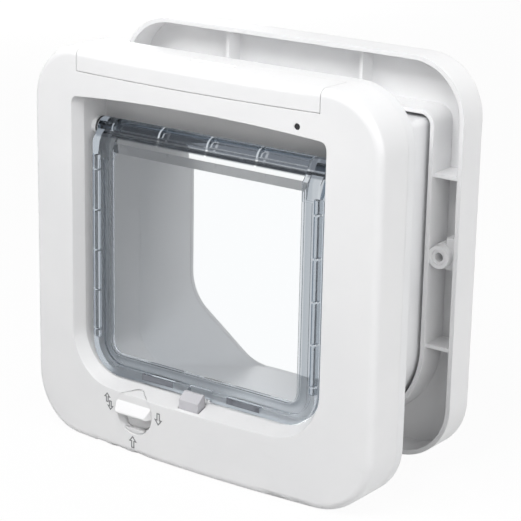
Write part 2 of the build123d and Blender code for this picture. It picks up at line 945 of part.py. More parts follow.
# Solenoid that draws the catch down
with BuildPart() as latch_solenoid:
    solenoid_low = wall + solenoid_seat
    solenoid_middle = (solenoid_front + solenoid_back) / 2
    with BuildSketch(Plane.XY.offset(solenoid_low)) as yoke:
        with Locations((0, y_at(solenoid_middle))):
            Rectangle(2 * solenoid_half, solenoid_back - solenoid_front)
    extrude(amount=solenoid_top - solenoid_low)
    for side in (-1, 1):
        with BuildSketch(Plane.XY.offset(solenoid_low + solenoid_plate)) as yoke_window:
            with Locations((side * solenoid_half, y_at(solenoid_middle))):
                Rectangle(2 * solenoid_half, solenoid_back - solenoid_front - 2 * solenoid_plate)
        extrude(amount=solenoid_top - solenoid_low - 2 * solenoid_plate, mode=Mode.SUBTRACT)
    with BuildSketch(Plane.XY.offset(solenoid_low)) as winding:
        with Locations((0, y_at(plunger_depth))):
            Circle(solenoid_coil / 2)
    extrude(amount=solenoid_top - solenoid_low - solenoid_plate)
    with BuildSketch(Plane.XY.offset(solenoid_bore_floor)) as plunger_bore:
        with Locations((0, y_at(plunger_depth))):
            Circle(plunger / 2 + plunger_gap)
    extrude(amount=solenoid_top - solenoid_bore_floor, mode=Mode.SUBTRACT)
latch_solenoid.part.label = "latch_solenoid"
export_step(latch_solenoid.part, "parts/latch_solenoid.step")

# Finger lip of the lock knob, straight below and sloped above
lip_low = knob_level - lip_drop
lip_back = knob_face + lip_root
with BuildPart() as knob_lip:
    with BuildSketch(across(knob_x - lip_half)) as lip_side:
        with BuildLine():
            Polyline(
                (lip_back, lip_low),
                (-lip_proud, lip_low),
                (-lip_proud, lip_low + lip_edge),
                (lip_back, knob_level + lip_rise),
                close=True,
            )
        make_face()
        fillet(lip_side.vertices().sort_by(Axis.X)[:2], lip_round)
    extrude(amount=2 * lip_half)
    with BuildSketch(Plane.XY.offset(lip_low)) as lip_plan:
        with BuildLine():
            Polyline(
                (knob_x - lip_half, y_at(lip_back)),
                (knob_x - lip_front_half, y_at(-lip_proud)),
                (knob_x + lip_front_half, y_at(-lip_proud)),
                (knob_x + lip_half, y_at(lip_back)),
                close=True,
            )
        make_face()
        fillet(lip_plan.vertices().sort_by(Axis.Y)[:2], lip_end_round)
    extrude(amount=knob, mode=Mode.INTERSECT)
    extrude(
        disc(-past, knob_x, knob_level, dish - 2 * knob_gap),
        amount=-past - knob_back,
        mode=Mode.INTERSECT,
    )

# Lock knob: a tapered plug with a finger scoop below the lip, a rim below it and a stem behind
crank_front = bracket_front + bracket_wall + crank_gap
crank_back = crank_front + crank_wall
with BuildPart() as lock_knob:
    with BuildSketch(across(knob_x)) as knob_side:
        with BuildLine():
            Polyline(
                (knob_face, knob_level),
                (knob_face, knob_level + dish / 2 - knob_gap),
                (knob_face + dish_depth, knob_level + knob / 2),
                (knob_back, knob_level + knob / 2),
                (knob_back, knob_level + stem / 2),
                (crank_front, knob_level + stem / 2),
                (crank_front, knob_level + stem_tip / 2),
                (crank_back, knob_level + stem_tip / 2),
                (crank_back, knob_level),
                close=True,
            )
        make_face()
    revolve(axis=knob_axis)
    with BuildSketch(across(knob_x - knob)) as scoop_side:
        with BuildLine():
            Polyline(
                (-past, lip_low),
                (scoop_deep, lip_low),
                (scoop_shallow, knob_level - scoop_low),
                (scoop_shallow + scoop_ledge, knob_level - scoop_low),
                (scoop_rim, knob_level - scoop_rim_low),
                (scoop_rim, knob_level - dish),
                (-past, knob_level - dish),
                close=True,
            )
        make_face()
    extrude(amount=2 * knob, mode=Mode.SUBTRACT)
    add(knob_lip.part)
    with BuildSketch(across(knob_x - knob)) as bevel_side:
        with BuildLine():
            Polyline(
                (-past, bevel_floor(-past)),
                (bevel_depth, bevel_floor(bevel_depth)),
                (bevel_depth, knob_level + dish),
                (-past, knob_level + dish),
                close=True,
            )
        make_face()
    extrude(amount=2 * knob, mode=Mode.SUBTRACT)
lock_knob.part.label = "lock_knob"
export_step(lock_knob.part, "parts/lock_knob.step")

# Bearing plate of the stem, with rails that guide the bolt
rail_half = bolt_half + bolt_gap
bolt_back = bolt_front + bolt_wall
with BuildPart() as lock_bracket:
    extrude(
        slab(
            bracket_front,
            knob_x - rail_half - bracket_wall,
            knob_x + rail_half + bracket_wall,
            wall + solenoid_seat,
            bracket_top,
        ),
        amount=bracket_front - bolt_back - bolt_gap,
    )
    extrude(
        slab(
            bracket_front + bracket_wall,
            knob_x - rail_half,
            knob_x + rail_half,
            wall + solenoid_seat,
            bracket_top,
        ),
        amount=bracket_front - bolt_back,
        mode=Mode.SUBTRACT,
    )
    extrude(
        disc(bracket_front, knob_x, knob_level, stem + 2 * pin_clearance),
        amount=-bracket_wall,
        mode=Mode.SUBTRACT,
    )
lock_bracket.part.label = "lock_bracket"
export_step(lock_bracket.part, "parts/lock_bracket.step")

# Crank on the stem's inner end
with BuildPart() as lock_crank:
    extrude(disc(crank_front, knob_x, knob_level, crank), amount=-crank_wall)
    extrude(disc(crank_front, knob_x, knob_level, stem_tip), amount=-crank_wall, mode=Mode.SUBTRACT)
    extrude(
        disc(crank_front, knob_x + crank_throw, knob_level, crank_pin),
        amount=-crank_wall,
        mode=Mode.SUBTRACT,
    )
lock_crank.part.label = "lock_crank"
export_step(lock_crank.part, "parts/lock_crank.step")

# Pin pressed into the crank, which moves the bolt
with BuildPart() as crank_pin_bar:
    extrude(
        disc(crank_front, knob_x + crank_throw, knob_level, crank_pin),
        amount=crank_front - bolt_back - crank_pin_past,
    )
crank_pin_bar.part.label = "crank_pin"
export_step(crank_pin_bar.part, "parts/crank_pin.step")

# Bolt that rises behind the flap
with BuildPart() as lock_bolt:
    extrude(
        slab(bolt_front, knob_x - bolt_half, knob_x + bolt_half, bolt_low, bolt_shoulder),
        amount=-bolt_wall,
    )
    extrude(
        slab(bolt_front, knob_x - tongue_half, knob_x + tongue_half, bolt_shoulder, bolt_top),
        amount=-bolt_wall,
    )
    extrude(
        slab(
            bolt_front,
            knob_x - crank_pin / 2 - slot_end_slack,
            knob_x + crank_throw + crank_pin / 2 + slot_end_slack,
            knob_level - crank_pin / 2 - slot_slack,
            knob_level + crank_pin / 2 + slot_slack,
        ),
        amount=-bolt_wall,
        mode=Mode.SUBTRACT,
    )
lock_bolt.part.label = "lock_bolt"
export_step(lock_bolt.part, "parts/lock_bolt.step")

# Cells, two long and two deep
with BuildPart() as aa_cells:
    for row in cell_rows:
        for start in (-cell_end, contact_half + cell_contact_gap):
            with BuildSketch(across(start)) as can:
                with Locations((row, cell_level)):
                    Circle(cell / 2)
            extrude(amount=cell_length - cell_nub_length)
            with BuildSketch(across(start)) as nub:
                with Locations((row, cell_level)):
                    Circle(cell_nub / 2)
            extrude(amount=cell_length)
aa_cells.part.label = "aa_cells"
export_step(aa_cells.part, "parts/aa_cells.step")

# Sprung contacts at the cells' negative ends
leaf_crest = -cell_end - cell_contact_gap - contact_half
leaf_root = leaf_crest - leaf_spread
with BuildPart() as contact_leaves:
    for row in cell_rows:
        with BuildSketch(at_depth(row - contact_width / 2)) as leaf:
            with BuildLine() as leaf_line:
                Polyline(
                    (leaf_root, cell_level - contact_height / 2),
                    (leaf_crest, cell_level),
                    (leaf_root, cell_level + contact_height / 2),
                )
            trace(line_width=contact_sheet)
        extrude(amount=-contact_width)
contact_leaves.part.label = "contact_leaves"
export_step(contact_leaves.part, "parts/contact_leaves.step")

# Plain contacts between the cells and at the positive ends
with BuildPart() as contact_plates:
    for row in cell_rows:
        for middle in (0, cell_end + cell_contact_gap + contact_half):
            extrude(
                slab(
                    row - contact_width / 2,
                    middle - contact_half,
                    middle + contact_half,
                    tray_floor_low + tray_floor,
                    cell_level + contact_height / 2,
                ),
                amount=-contact_width,
            )
contact_plates.part.label = "contact_plates"
export_step(contact_plates.part, "parts/contact_plates.step")

# Tray with end walls, a ridge between the rows and the button panel
tray_left = leaf_root - contact_half - cell_contact_gap
with BuildPart() as battery_tray:
    extrude(
        slab(
            tray_front,
            tray_left - tray_end_wall,
            tray_end,
            tray_floor_low,
            tray_floor_low + tray_floor,
        ),
        amount=tray_front - tray_back,
    )
    for start in (tray_left - tray_end_wall, tray_right):
        extrude(
            slab(tray_front, start, start + tray_end_wall, tray_floor_low, tray_wall_top),
            amount=tray_front - tray_back,
        )
    ridge_depth = sum(cell_rows) / 2
    for start, end in ((tray_left, -contact_width), (contact_width, tray_right)):
        with BuildSketch(across(start)) as ridge_face:
            with BuildLine():
                Polyline(
                    (ridge_depth - tray_ridge_width / 2, tray_floor_low + tray_floor),
                    (ridge_depth + tray_ridge_width / 2, tray_floor_low + tray_floor),
                    (ridge_depth, tray_floor_low + tray_floor + tray_ridge_height),
                    close=True,
                )
            make_face()
        extrude(amount=end - start)
    extrude(
        slab(panel_front, tray_right, panel_end, panel_low, tray_wall_top),
        amount=-panel_wall,
    )
    extrude(
        disc(panel_front, button_x, button_level, button + 2 * button_gap),
        amount=-panel_wall,
        mode=Mode.SUBTRACT,
    )
battery_tray.part.label = "battery_tray"
export_step(battery_tray.part, "parts/battery_tray.step")

# Control board
with BuildPart() as circuit_board:
    with BuildSketch(at_depth(board_depth)) as board_face:
        with BuildLine():
            Polyline(
                (board_near, board_low),
                (board_far, board_low),
                (board_far, board_shoulder_level),
                (board_shoulder_x, board_top),
                (board_arm_end, board_top),
                (board_arm_end, board_arm_low),
                (board_near, board_arm_low),
                close=True,
            )
        make_face()
    extrude(amount=-board_wall)
circuit_board.part.label = "circuit_board"
export_step(circuit_board.part, "parts/circuit_board.step")

# Status light and its window
with BuildPart() as status_led:
    extrude(
        slab(
            board_depth,
            lens_x - led_size / 2,
            lens_x + led_size / 2,
            led_level - led_size / 2,
            led_level + led_size / 2,
        ),
        amount=led_height,
    )
status_led.part.label = "status_led"
export_step(status_led.part, "parts/status_led.step")

with BuildPart() as indicator_lens:
    lens_front = crown_fall(lens_x) + lens_set_back
    extrude(disc(lens_front, lens_x, lens_level, lens), amount=lens_front - lens_back)
indicator_lens.part.label = "indicator_lens"
export_step(indicator_lens.part, "parts/indicator_lens.step")

# Learn button and its switch
with BuildPart() as learn_button:
    flange_front = panel_front + panel_wall + button_gap
    extrude(disc(button_front, button_x, button_level, button), amount=button_front - flange_front)
    extrude(disc(flange_front, button_x, button_level, button_flange), amount=-button_flange_wall)
    extrude(disc(flange_front, button_x, button_level, button_tail), amount=flange_front - button_tail_back)
learn_button.part.label = "learn_button"
export_step(learn_button.part, "parts/learn_button.step")

with BuildPart() as learn_switch:
    extrude(
        slab(
            board_depth,
            button_x - switch_size / 2,
            button_x + switch_size / 2,
            button_level - switch_size / 2,
            button_level + switch_size / 2,
        ),
        amount=switch_height,
    )
learn_switch.part.label = "learn_switch"
export_step(learn_switch.part, "parts/learn_switch.step")

# Reader coil round the passage
with BuildPart() as antenna_coil:
    with BuildSketch(at_depth(coil_back)) as turns:
        add(near_passage(coil_back, wall + coil_gap + coil_build))
        add(near_passage(coil_back, wall + coil_gap), mode=Mode.SUBTRACT)
    extrude(amount=coil_width)
antenna_coil.part.label = "antenna_coil"
export_step(antenna_coil.part, "parts/antenna_coil.step")

bolt_rise = crank_throw / (pi / 2)
print(f"Overall {frame_width:.1f} x {back_depth + lip_proud:.1f} x {outside_rise + frame_height:.1f} mm")
print(f"Bolt travel {bolt_rise:.4f} mm for each radian of the knob")
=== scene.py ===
# %% [markdown]
# # A cat flap with an electronic latch
#
# The object is a white door unit with a clear flap, a tunnel that goes through the door, and
# the frame of the outside half, shown as they stand when no door is between them. The solids
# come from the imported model. This script gives every solid its finish, adds the small pieces
# that solids don't carry, such as printed signs and screw recesses, and sets up a plain white
# studio with the camera at the photograph's angle.

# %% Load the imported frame
import math

import bmesh
import bpy
from mathutils import Matrix, Vector


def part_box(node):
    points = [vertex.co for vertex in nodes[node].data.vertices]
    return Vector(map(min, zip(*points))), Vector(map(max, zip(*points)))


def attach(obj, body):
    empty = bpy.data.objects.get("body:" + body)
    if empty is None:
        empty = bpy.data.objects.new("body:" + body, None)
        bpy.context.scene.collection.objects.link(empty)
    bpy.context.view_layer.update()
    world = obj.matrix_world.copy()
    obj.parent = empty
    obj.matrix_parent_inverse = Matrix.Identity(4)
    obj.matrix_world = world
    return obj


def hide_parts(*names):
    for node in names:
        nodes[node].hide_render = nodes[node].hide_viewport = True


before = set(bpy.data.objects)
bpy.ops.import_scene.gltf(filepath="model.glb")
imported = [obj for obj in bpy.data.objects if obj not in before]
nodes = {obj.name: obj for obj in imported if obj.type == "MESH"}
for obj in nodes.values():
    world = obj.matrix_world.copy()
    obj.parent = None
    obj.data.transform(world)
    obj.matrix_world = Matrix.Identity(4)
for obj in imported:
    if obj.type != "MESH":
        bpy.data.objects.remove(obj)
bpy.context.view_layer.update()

MM = 0.001

# %% [markdown]
# ## Where things are
#
# Depth is measured back from the middle of the crowned face, as in the solids' own source, so
# the front housing's lowest Y is depth 0. The face is part of a large cylinder: its radius
# follows from the frame's width and from how far the face falls back at its sides. Points in
# the frame's own axes would do as well, but a depth can be measured on the object.

# %% Places on the unit
face_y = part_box("front_housing")[0].y
frame_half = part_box("front_housing")[1].x
FACE_CROWN = 7 * MM
crown_radius = (frame_half**2 + FACE_CROWN**2) / (2 * FACE_CROWN)


def crown_fall(x):
    """How far the face has fallen back at a distance from the middle, in metres."""
    return crown_radius - math.sqrt(crown_radius**2 - x**2)


def at(x, depth, level):
    """A point from millimetres: across, behind the face's middle, and up."""
    return Vector((x * MM, face_y + depth * MM, level * MM))


print("Face at y", round(face_y / MM, 2), "mm, crown radius", round(crown_radius / MM), "mm")

# %% [markdown]
# ## Small tools for pieces
#
# Each new piece starts as a bmesh, is shaped by operators, and ends as an object at the origin
# with its place in its mesh. It rides on the body that carries it and gets its finish as a
# material. A solid that is already right keeps its shape and only gets a finish.

# %% Turn a bmesh into a piece
MERGE_DISTANCE = 0.0001 * MM


def keep_piece(bm, name, body, material, smooth_angle=30.0):
    """Make an object of a bmesh, shade it smooth below an angle, and let it ride on a body."""
    bmesh.ops.remove_doubles(bm, verts=bm.verts, dist=MERGE_DISTANCE)
    bmesh.ops.recalc_face_normals(bm, faces=bm.faces)
    mesh = bpy.data.meshes.new(name)
    bm.to_mesh(mesh)
    bm.free()
    mesh.materials.append(material)
    for polygon in mesh.polygons:
        polygon.use_smooth = True
    mesh.set_sharp_from_angle(angle=math.radians(smooth_angle))
    piece = bpy.data.objects.new(name, mesh)
    bpy.context.scene.collection.objects.link(piece)
    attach(piece, body)
    print(name, "faces:", len(mesh.polygons))
    return piece


def new_verts(made):
    """The vertices among what an extrusion made."""
    return [item for item in made["geom"] if isinstance(item, bmesh.types.BMVert)]


def dress(node_names, material):
    """Give CAD nodes a finish."""
    for name in node_names:
        nodes[name].data.materials.clear()
        nodes[name].data.materials.append(material)
    print(material.name, "on", ", ".join(node_names))


# %% [markdown]
# ## Effects that several finishes share
#
# Moulded plastic has a fine spark texture from the tool, a faint unevenness in colour, and
# edges that are never quite sharp. Handling leaves soft streaks, and dust settles on what
# faces up. Each effect is a node group, so that it is built once and set by named inputs.
# The tools below save typing: most make one node, from numbers and sockets.

# %% Tools for shader trees


def link_all(tree, pairs):
    """Link pairs of output and input sockets."""
    for source, target in pairs:
        tree.links.new(source, target)


def set_or_link(tree, socket, value):
    """Give an input a plain value, or link a socket to it."""
    if isinstance(value, bpy.types.NodeSocket):
        tree.links.new(value, socket)
    else:
        socket.default_value = value


def new_group(name, inputs, outputs):
    """Start a shader group with named sockets: (name, kind, default)."""
    group = bpy.data.node_groups.new(name, "ShaderNodeTree")
    for title, kind, default in inputs:
        socket = group.interface.new_socket(title, in_out="INPUT", socket_type="NodeSocket" + kind)
        if default is not None:
            socket.default_value = default
    for title, kind in outputs:
        group.interface.new_socket(title, in_out="OUTPUT", socket_type="NodeSocket" + kind)
    return group, group.nodes.new("NodeGroupInput"), group.nodes.new("NodeGroupOutput")


def noise_node(tree, place, scale, detail=2.0, roughness=0.5):
    """A noise texture on a place socket. The scale counts patches in a metre."""
    noise = tree.nodes.new("ShaderNodeTexNoise")
    noise.inputs["Detail"].default_value = detail
    noise.inputs["Roughness"].default_value = roughness
    tree.links.new(place, noise.inputs["Vector"])
    set_or_link(tree, noise.inputs["Scale"], scale)
    return noise.outputs["Fac"]


def math_node(tree, operation, first, second, clamp=False):
    """A math node on two inputs."""
    node = tree.nodes.new("ShaderNodeMath")
    node.operation = operation
    node.use_clamp = clamp
    for socket, value in zip(node.inputs, (first, second)):
        set_or_link(tree, socket, value)
    return node.outputs[0]


def ranged(tree, value, low, high, to_low=0.0, to_high=1.0):
    """Map a value from one range to another, clamped and eased."""
    node = tree.nodes.new("ShaderNodeMapRange")
    node.interpolation_type = "SMOOTHSTEP"
    tree.links.new(value, node.inputs["Value"])
    for title, number in (("From Min", low), ("From Max", high), ("To Min", to_low), ("To Max", to_high)):
        node.inputs[title].default_value = number
    return node.outputs["Result"]


def blended(tree, share, first, second):
    """Mix two colours, each a socket or a tuple, by a share."""
    node = tree.nodes.new("ShaderNodeMix")
    node.data_type = "RGBA"
    for socket, value in ((node.inputs[0], share), (node.inputs[6], first), (node.inputs[7], second)):
        set_or_link(tree, socket, value)
    return node.outputs[2]


def split_place(tree, place):
    """The X, Y and Z of a place, as a node with three outputs."""
    split = tree.nodes.new("ShaderNodeSeparateXYZ")
    tree.links.new(place, split.inputs[0])
    return split


print("Shader tools ready")

# %% [markdown]
# ### Moulded grain
#
# The tool of a moulding is eroded by sparks, which leaves a fine, even grain on the plastic. A
# photographed texture could give it, but would show its seams and has one size only. Noise at
# three scales does it here: a mottle in the colour, a spread in the gloss, and a height.

# %% Group: moulded grain
MOTTLE_SCALE = 22.0
POLISH_SCALE = 120.0


def build_moulded_grain():
    """Colour with a faint mottle, roughness with a spread, and the height of the tool's texture."""
    group, given, result = new_group(
        "moulded_grain",
        [
            ("Place", "Vector", None),
            ("Colour", "Color", (0.8, 0.8, 0.8, 1)),
            ("Shade", "Color", (0.76, 0.76, 0.76, 1)),
            ("Roughness", "Float", 0.4),
            ("Spread", "Float", 0.08),
            ("Grain Scale", "Float", 1800.0),
        ],
        [("Colour", "Color"), ("Roughness", "Float"), ("Height", "Float")],
    )
    place = given.outputs["Place"]
    mottle = ranged(group, noise_node(group, place, MOTTLE_SCALE, detail=3.0), 0.35, 0.7)
    tint = blended(group, mottle, given.outputs["Colour"], given.outputs["Shade"])
    polish = math_node(group, "SUBTRACT", noise_node(group, place, POLISH_SCALE, detail=4.0), 0.5)
    polish = math_node(group, "MULTIPLY", polish, given.outputs["Spread"])
    rough = math_node(group, "ADD", given.outputs["Roughness"], polish, clamp=True)
    spark = noise_node(group, place, given.outputs["Grain Scale"], roughness=0.6)
    link_all(
        group,
        [
            (tint, result.inputs["Colour"]),
            (rough, result.inputs["Roughness"]),
            (spark, result.inputs["Height"]),
        ],
    )
    return group


moulded_grain = build_moulded_grain()
print("Group", moulded_grain.name)

# %% [markdown]
# ### Handling marks
#
# Hands and paws rub soft streaks into the plastic. They could be painted, but noise that is
# turned and stretched gives them on every piece. A second, coarser noise keeps them in patches.

# %% Group: handling marks
STREAK_TURN = (0.4, 0.2, 0.9)
STREAK_STRETCH = (1.0, 1.0, 9.0)
PATCH_SCALE = 14.0


def build_handling_marks():
    """A mask of thin, soft streaks left by hands and paws."""
    group, given, result = new_group(
        "handling_marks",
        [("Place", "Vector", None), ("Amount", "Float", 0.5), ("Scale", "Float", 40.0)],
        [("Mask", "Float")],
    )
    turned = group.nodes.new("ShaderNodeMapping")
    turned.inputs["Rotation"].default_value = STREAK_TURN
    turned.inputs["Scale"].default_value = STREAK_STRETCH
    group.links.new(given.outputs["Place"], turned.inputs["Vector"])
    streak = noise_node(group, turned.outputs["Vector"], given.outputs["Scale"], detail=5.0, roughness=0.65)
    patch = noise_node(group, given.outputs["Place"], PATCH_SCALE)
    mask = math_node(group, "MULTIPLY", ranged(group, streak, 0.58, 0.74), ranged(group, patch, 0.45, 0.65))
    mask = math_node(group, "MULTIPLY", mask, given.outputs["Amount"], clamp=True)
    group.links.new(mask, result.inputs["Mask"])
    return group


handling_marks = build_handling_marks()
print("Group", handling_marks.name)

# %% [markdown]
# ### Settled dust
#
# A little dust lies on whatever faces up. Particles would be far too heavy for it, so the mask
# comes from how far the normal points up, broken into specks by noise.

# %% Group: settled dust
SPECK_SCALE = 420.0


def build_settled_dust():
    """A mask of dust on what faces up."""
    group, given, result = new_group(
        "settled_dust",
        [("Place", "Vector", None), ("Amount", "Float", 0.3)],
        [("Mask", "Float")],
    )
    geometry = group.nodes.new("ShaderNodeNewGeometry")
    up = ranged(group, split_place(group, geometry.outputs["Normal"]).outputs["Z"], 0.5, 0.95)
    specks = noise_node(group, given.outputs["Place"], SPECK_SCALE, detail=4.0, roughness=0.7)
    mask = math_node(group, "MULTIPLY", up, ranged(group, specks, 0.48, 0.72))
    mask = math_node(group, "MULTIPLY", mask, given.outputs["Amount"])
    group.links.new(mask, result.inputs["Mask"])
    return group


settled_dust = build_settled_dust()
print("Group", settled_dust.name)

# %% [markdown]
# ### Eased edges
#
# No moulded edge is quite sharp, and the thin highlight along it makes plastic look real. A
# bevelled mesh would do that, but the solids' meshes stay as they are, so the Bevel node
# rounds the normals near an edge instead.

# %% Group: eased edges
EDGE_SAMPLES = 6


def build_eased_edges():
    """A normal that rounds the edges by a small radius."""
    group, given, result = new_group("eased_edges", [("Radius", "Float", 0.4 * MM)], [("Normal", "Vector")])
    bevel = group.nodes.new("ShaderNodeBevel")
    bevel.samples = EDGE_SAMPLES
    group.links.new(given.outputs["Radius"], bevel.inputs["Radius"])
    group.links.new(bevel.outputs["Normal"], result.inputs["Normal"])
    return group


eased_edges = build_eased_edges()
print("Group", eased_edges.name)

# %% [markdown]
# ## Finishes
#
# Every finish starts from one Principled shader. The class below places the shared groups in
# its tree and sets their inputs, and each finish then adds what is its own. In the calls, a
# name with _ stands for the socket's name with a space.

# %% A finish with its tools


class Finish:
    """A material with a Principled shader and the shared groups at hand."""

    def __init__(self, name, **values):
        self.material = bpy.data.materials.new(name)
        self.material.use_nodes = True
        self.tree = self.material.node_tree
        self.shader = self.tree.nodes["Principled BSDF"]
        self.output = self.tree.nodes["Material Output"]
        self.place = self.tree.nodes.new("ShaderNodeTexCoord").outputs["Object"]
        for title, value in values.items():
            self.shader.inputs[title.replace("_", " ")].default_value = value

    def group(self, group, **values):
        """Place a shared group and set its inputs."""
        node = self.tree.nodes.new("ShaderNodeGroup")
        node.node_tree = group
        if "Place" in node.inputs:
            self.tree.links.new(self.place, node.inputs["Place"])
        for title, value in values.items():
            node.inputs[title.replace("_", " ")].default_value = value
        return node

    def feed(self, **sockets):
        """Link sockets to the shader's inputs."""
        for title, socket in sockets.items():
            self.tree.links.new(socket, self.shader.inputs[title.replace("_", " ")])

    def bump(self, height, distance, strength, edge=None):
        """A bump from a height, over eased edges if a radius is given."""
        node = self.tree.nodes.new("ShaderNodeBump")
        node.inputs["Distance"].default_value = distance
        node.inputs["Strength"].default_value = strength
        self.tree.links.new(height, node.inputs["Height"])
        if edge:
            eased = self.group(eased_edges, Radius=edge).outputs["Normal"]
            self.tree.links.new(eased, node.inputs["Normal"])
        self.feed(Normal=node.outputs["Normal"])


print("Finish tools ready")

# %% [markdown]
# ### Moulded plastic
#
# Most pieces are moulded, and differ only in colour, gloss and grain. Each could have a tree
# of its own, but one function that joins the four groups keeps them alike, and then a plastic
# is a single call with its own values.

# %% Moulded plastic
SMEAR_COLOUR = (0.62, 0.62, 0.60, 1)
DUST_COLOUR = (0.58, 0.57, 0.54, 1)
GRAIN_STRENGTH = 0.35


def moulded_finish(name, colour, shade, roughness, grain, depth, marks, dust, edge, **values):
    """Moulded plastic: grain, streaks, a little dust and eased edges."""
    finish = Finish(name, **values)
    grained = finish.group(
        moulded_grain,
        Colour=(*colour, 1),
        Shade=(*shade, 1),
        Roughness=roughness,
        Grain_Scale=grain,
    )
    streaks = finish.group(handling_marks, Amount=marks).outputs["Mask"]
    specks = finish.group(settled_dust, Amount=dust).outputs["Mask"]
    worn = blended(finish.tree, streaks, grained.outputs["Colour"], SMEAR_COLOUR)
    dusted = blended(finish.tree, specks, worn, DUST_COLOUR)
    rough = math_node(finish.tree, "ADD", grained.outputs["Roughness"], specks, clamp=True)
    finish.feed(Base_Color=dusted, Roughness=rough)
    finish.bump(grained.outputs["Height"], depth, GRAIN_STRENGTH, edge)
    return finish.material


print("Moulded plastic ready")

# %% [markdown]
# ### White shells
#
# The unit and the outside frame are white ABS with a satin spark texture. The tunnel and the
# knob come from smoother tools, so they are a little glossier. The grain counts patches in a
# metre, and its depth and the radius of the edges are real lengths. One white for all would
# be simpler, but it would make the tunnel as dull as the face.

# %% White plastics
white_shell = moulded_finish(
    "white_shell", colour=(0.86, 0.86, 0.865), shade=(0.835, 0.837, 0.845), roughness=0.42,
    grain=1700.0, depth=0.06 * MM, marks=0.05, dust=0.05, edge=0.5 * MM,
)
white_tunnel = moulded_finish(
    "white_tunnel", colour=(0.85, 0.855, 0.865), shade=(0.825, 0.83, 0.84), roughness=0.36,
    grain=1500.0, depth=0.04 * MM, marks=0.08, dust=0.06, edge=0.4 * MM, Specular_IOR_Level=0.3,
)
white_knob = moulded_finish(
    "white_knob", colour=(0.86, 0.86, 0.865), shade=(0.84, 0.84, 0.845), roughness=0.34,
    grain=2000.0, depth=0.03 * MM, marks=0.10, dust=0.03, edge=0.4 * MM,
)
dress(["front_housing", "battery_cover", "outside_frame"], white_shell)
dress(["tunnel_housing"], white_tunnel)
dress(["lock_knob"], white_knob)

# %% [markdown]
# ### Clear flap: its tint and painted shade
#
# The flap is one moulding of faintly tinted clear plastic. Its thick rim, band and hinge tube
# bend darker surroundings into view, and that shade is painted into their colour: darker than
# the pane, the sides more than the foot, the tube most. Absorption in a volume could darken
# them too, but a colour by place can be matched zone by zone. The distance from the flap's edge
# picks it: rim, then band with a painted dark step at its inner side, then pane. A smooth
# minimum of the distances from side and foot rounds the corners.

# %% Tint and painted shade of the clear plastic
FLAP_RIM = 4.4 * MM
FLAP_BAND = 10.7 * MM
FLAP_TUBE = 8.0 * MM
FLAP_CORNER = 12.0 * MM
TUBE_RIB_PITCH = 30.0 * MM
RIM_BLUR, BAND_BLUR, TUBE_BLUR = 0.6 * MM, 1.2 * MM, 1.0 * MM
STEP_FROM, STEP_TO = 1.0 * MM, 3.4 * MM
RIB_FROM, RIB_TO, RIB_SHARE = 0.4 * MM, 1.0 * MM, 0.15
SIDE_FROM, SIDE_TO = -4.0 * MM, 12.0 * MM
PANE_TINT = (0.965, 0.98, 0.99, 1)
FOOT_BAND_SHADE = (0.72, 0.76, 0.80, 1)
SIDE_BAND_SHADE = (0.46, 0.495, 0.53, 1)
STEP_PAINTED_SHADE = (0.42, 0.46, 0.50, 1)
RIM_PAINTED_SHADE = (0.58, 0.615, 0.65, 1)
TUBE_PAINTED_SHADE = (0.165, 0.185, 0.215, 1)


def tint_and_shade_flap(finish):
    """Colour the plastic by place, with painted shade on rim, band, step and tube. Gives back the distance
    from the flap's foot.
    """
    tree = finish.tree
    place = split_place(tree, finish.place)
    low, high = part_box("flap")
    aside = math_node(tree, "ABSOLUTE", place.outputs["X"], 0.0)
    from_side = math_node(tree, "SUBTRACT", high.x, aside)
    from_foot = math_node(tree, "SUBTRACT", place.outputs["Z"], low.z)
    inset = math_node(tree, "SMOOTH_MIN", from_side, from_foot)
    inset.node.inputs[2].default_value = FLAP_CORNER
    rim = ranged(tree, inset, FLAP_RIM + RIM_BLUR, FLAP_RIM - RIM_BLUR)
    band = ranged(tree, inset, FLAP_BAND, FLAP_BAND - BAND_BLUR)
    past_step = ranged(tree, inset, FLAP_BAND - STEP_FROM, FLAP_BAND - STEP_TO)
    step = math_node(tree, "SUBTRACT", band, past_step)
    tube = ranged(tree, place.outputs["Z"], high.z - FLAP_TUBE - TUBE_BLUR, high.z - FLAP_TUBE)
    from_rib = math_node(tree, "PINGPONG", aside, TUBE_RIB_PITCH / 2)
    between_ribs = ranged(tree, from_rib, RIB_FROM, RIB_TO, to_low=RIB_SHARE)
    tube = math_node(tree, "MULTIPLY", tube, between_ribs)
    up_the_side = math_node(tree, "SUBTRACT", from_foot, from_side)
    side = ranged(tree, up_the_side, SIDE_FROM, SIDE_TO)
    # Painted shade: the band darker than the pane, its sides darker than its foot.
    tint = blended(tree, band, PANE_TINT, blended(tree, side, FOOT_BAND_SHADE, SIDE_BAND_SHADE))
    # Painted shade on the step, the rim and the hinge tube, less on the tube's ribs.
    for mask, colour in ((step, STEP_PAINTED_SHADE), (rim, RIM_PAINTED_SHADE), (tube, TUBE_PAINTED_SHADE)):
        tint = blended(tree, mask, tint, colour)
    finish.feed(Base_Color=tint)
    return from_foot


print("Flap rim", round(FLAP_RIM / MM, 1), "mm, band", round(FLAP_BAND / MM, 1), "mm")

# %% [markdown]
# ### Clear flap: its gloss and its light
#
# Paws leave fine scratches, which only show as a change in gloss, and the foot is frosted. A
# glass shader alone would keep the tunnel dark, because lamps can't shine through it, and a
# ray that is mirrored inside the rim again and again ends up black. So three kinds of rays
# meet a tinted transparent shader instead: those from lamps, those that a dull surface
# scattered, and those that were mirrored before.

# %% Clear plastic
SCRATCH_SCALE, SCRATCH_AMOUNT = 90.0, 0.6
HAZE_SCALE = 60.0
FOOT_BLUR = 0.2 * MM
SCRATCH_DULL, HAZE_DULL, FOOT_DULL = 0.12, 0.03, 0.28
RIPPLE_SCALE, RIPPLE_DEPTH, RIPPLE_STRENGTH = 35.0, 0.4 * MM, 0.25
LAMP_THROUGH = (0.62, 0.635, 0.65, 1)
BOUNCE_THROUGH = (0.34, 0.36, 0.38, 1)
TRAPPED_THROUGH = (0.62, 0.66, 0.70, 1)


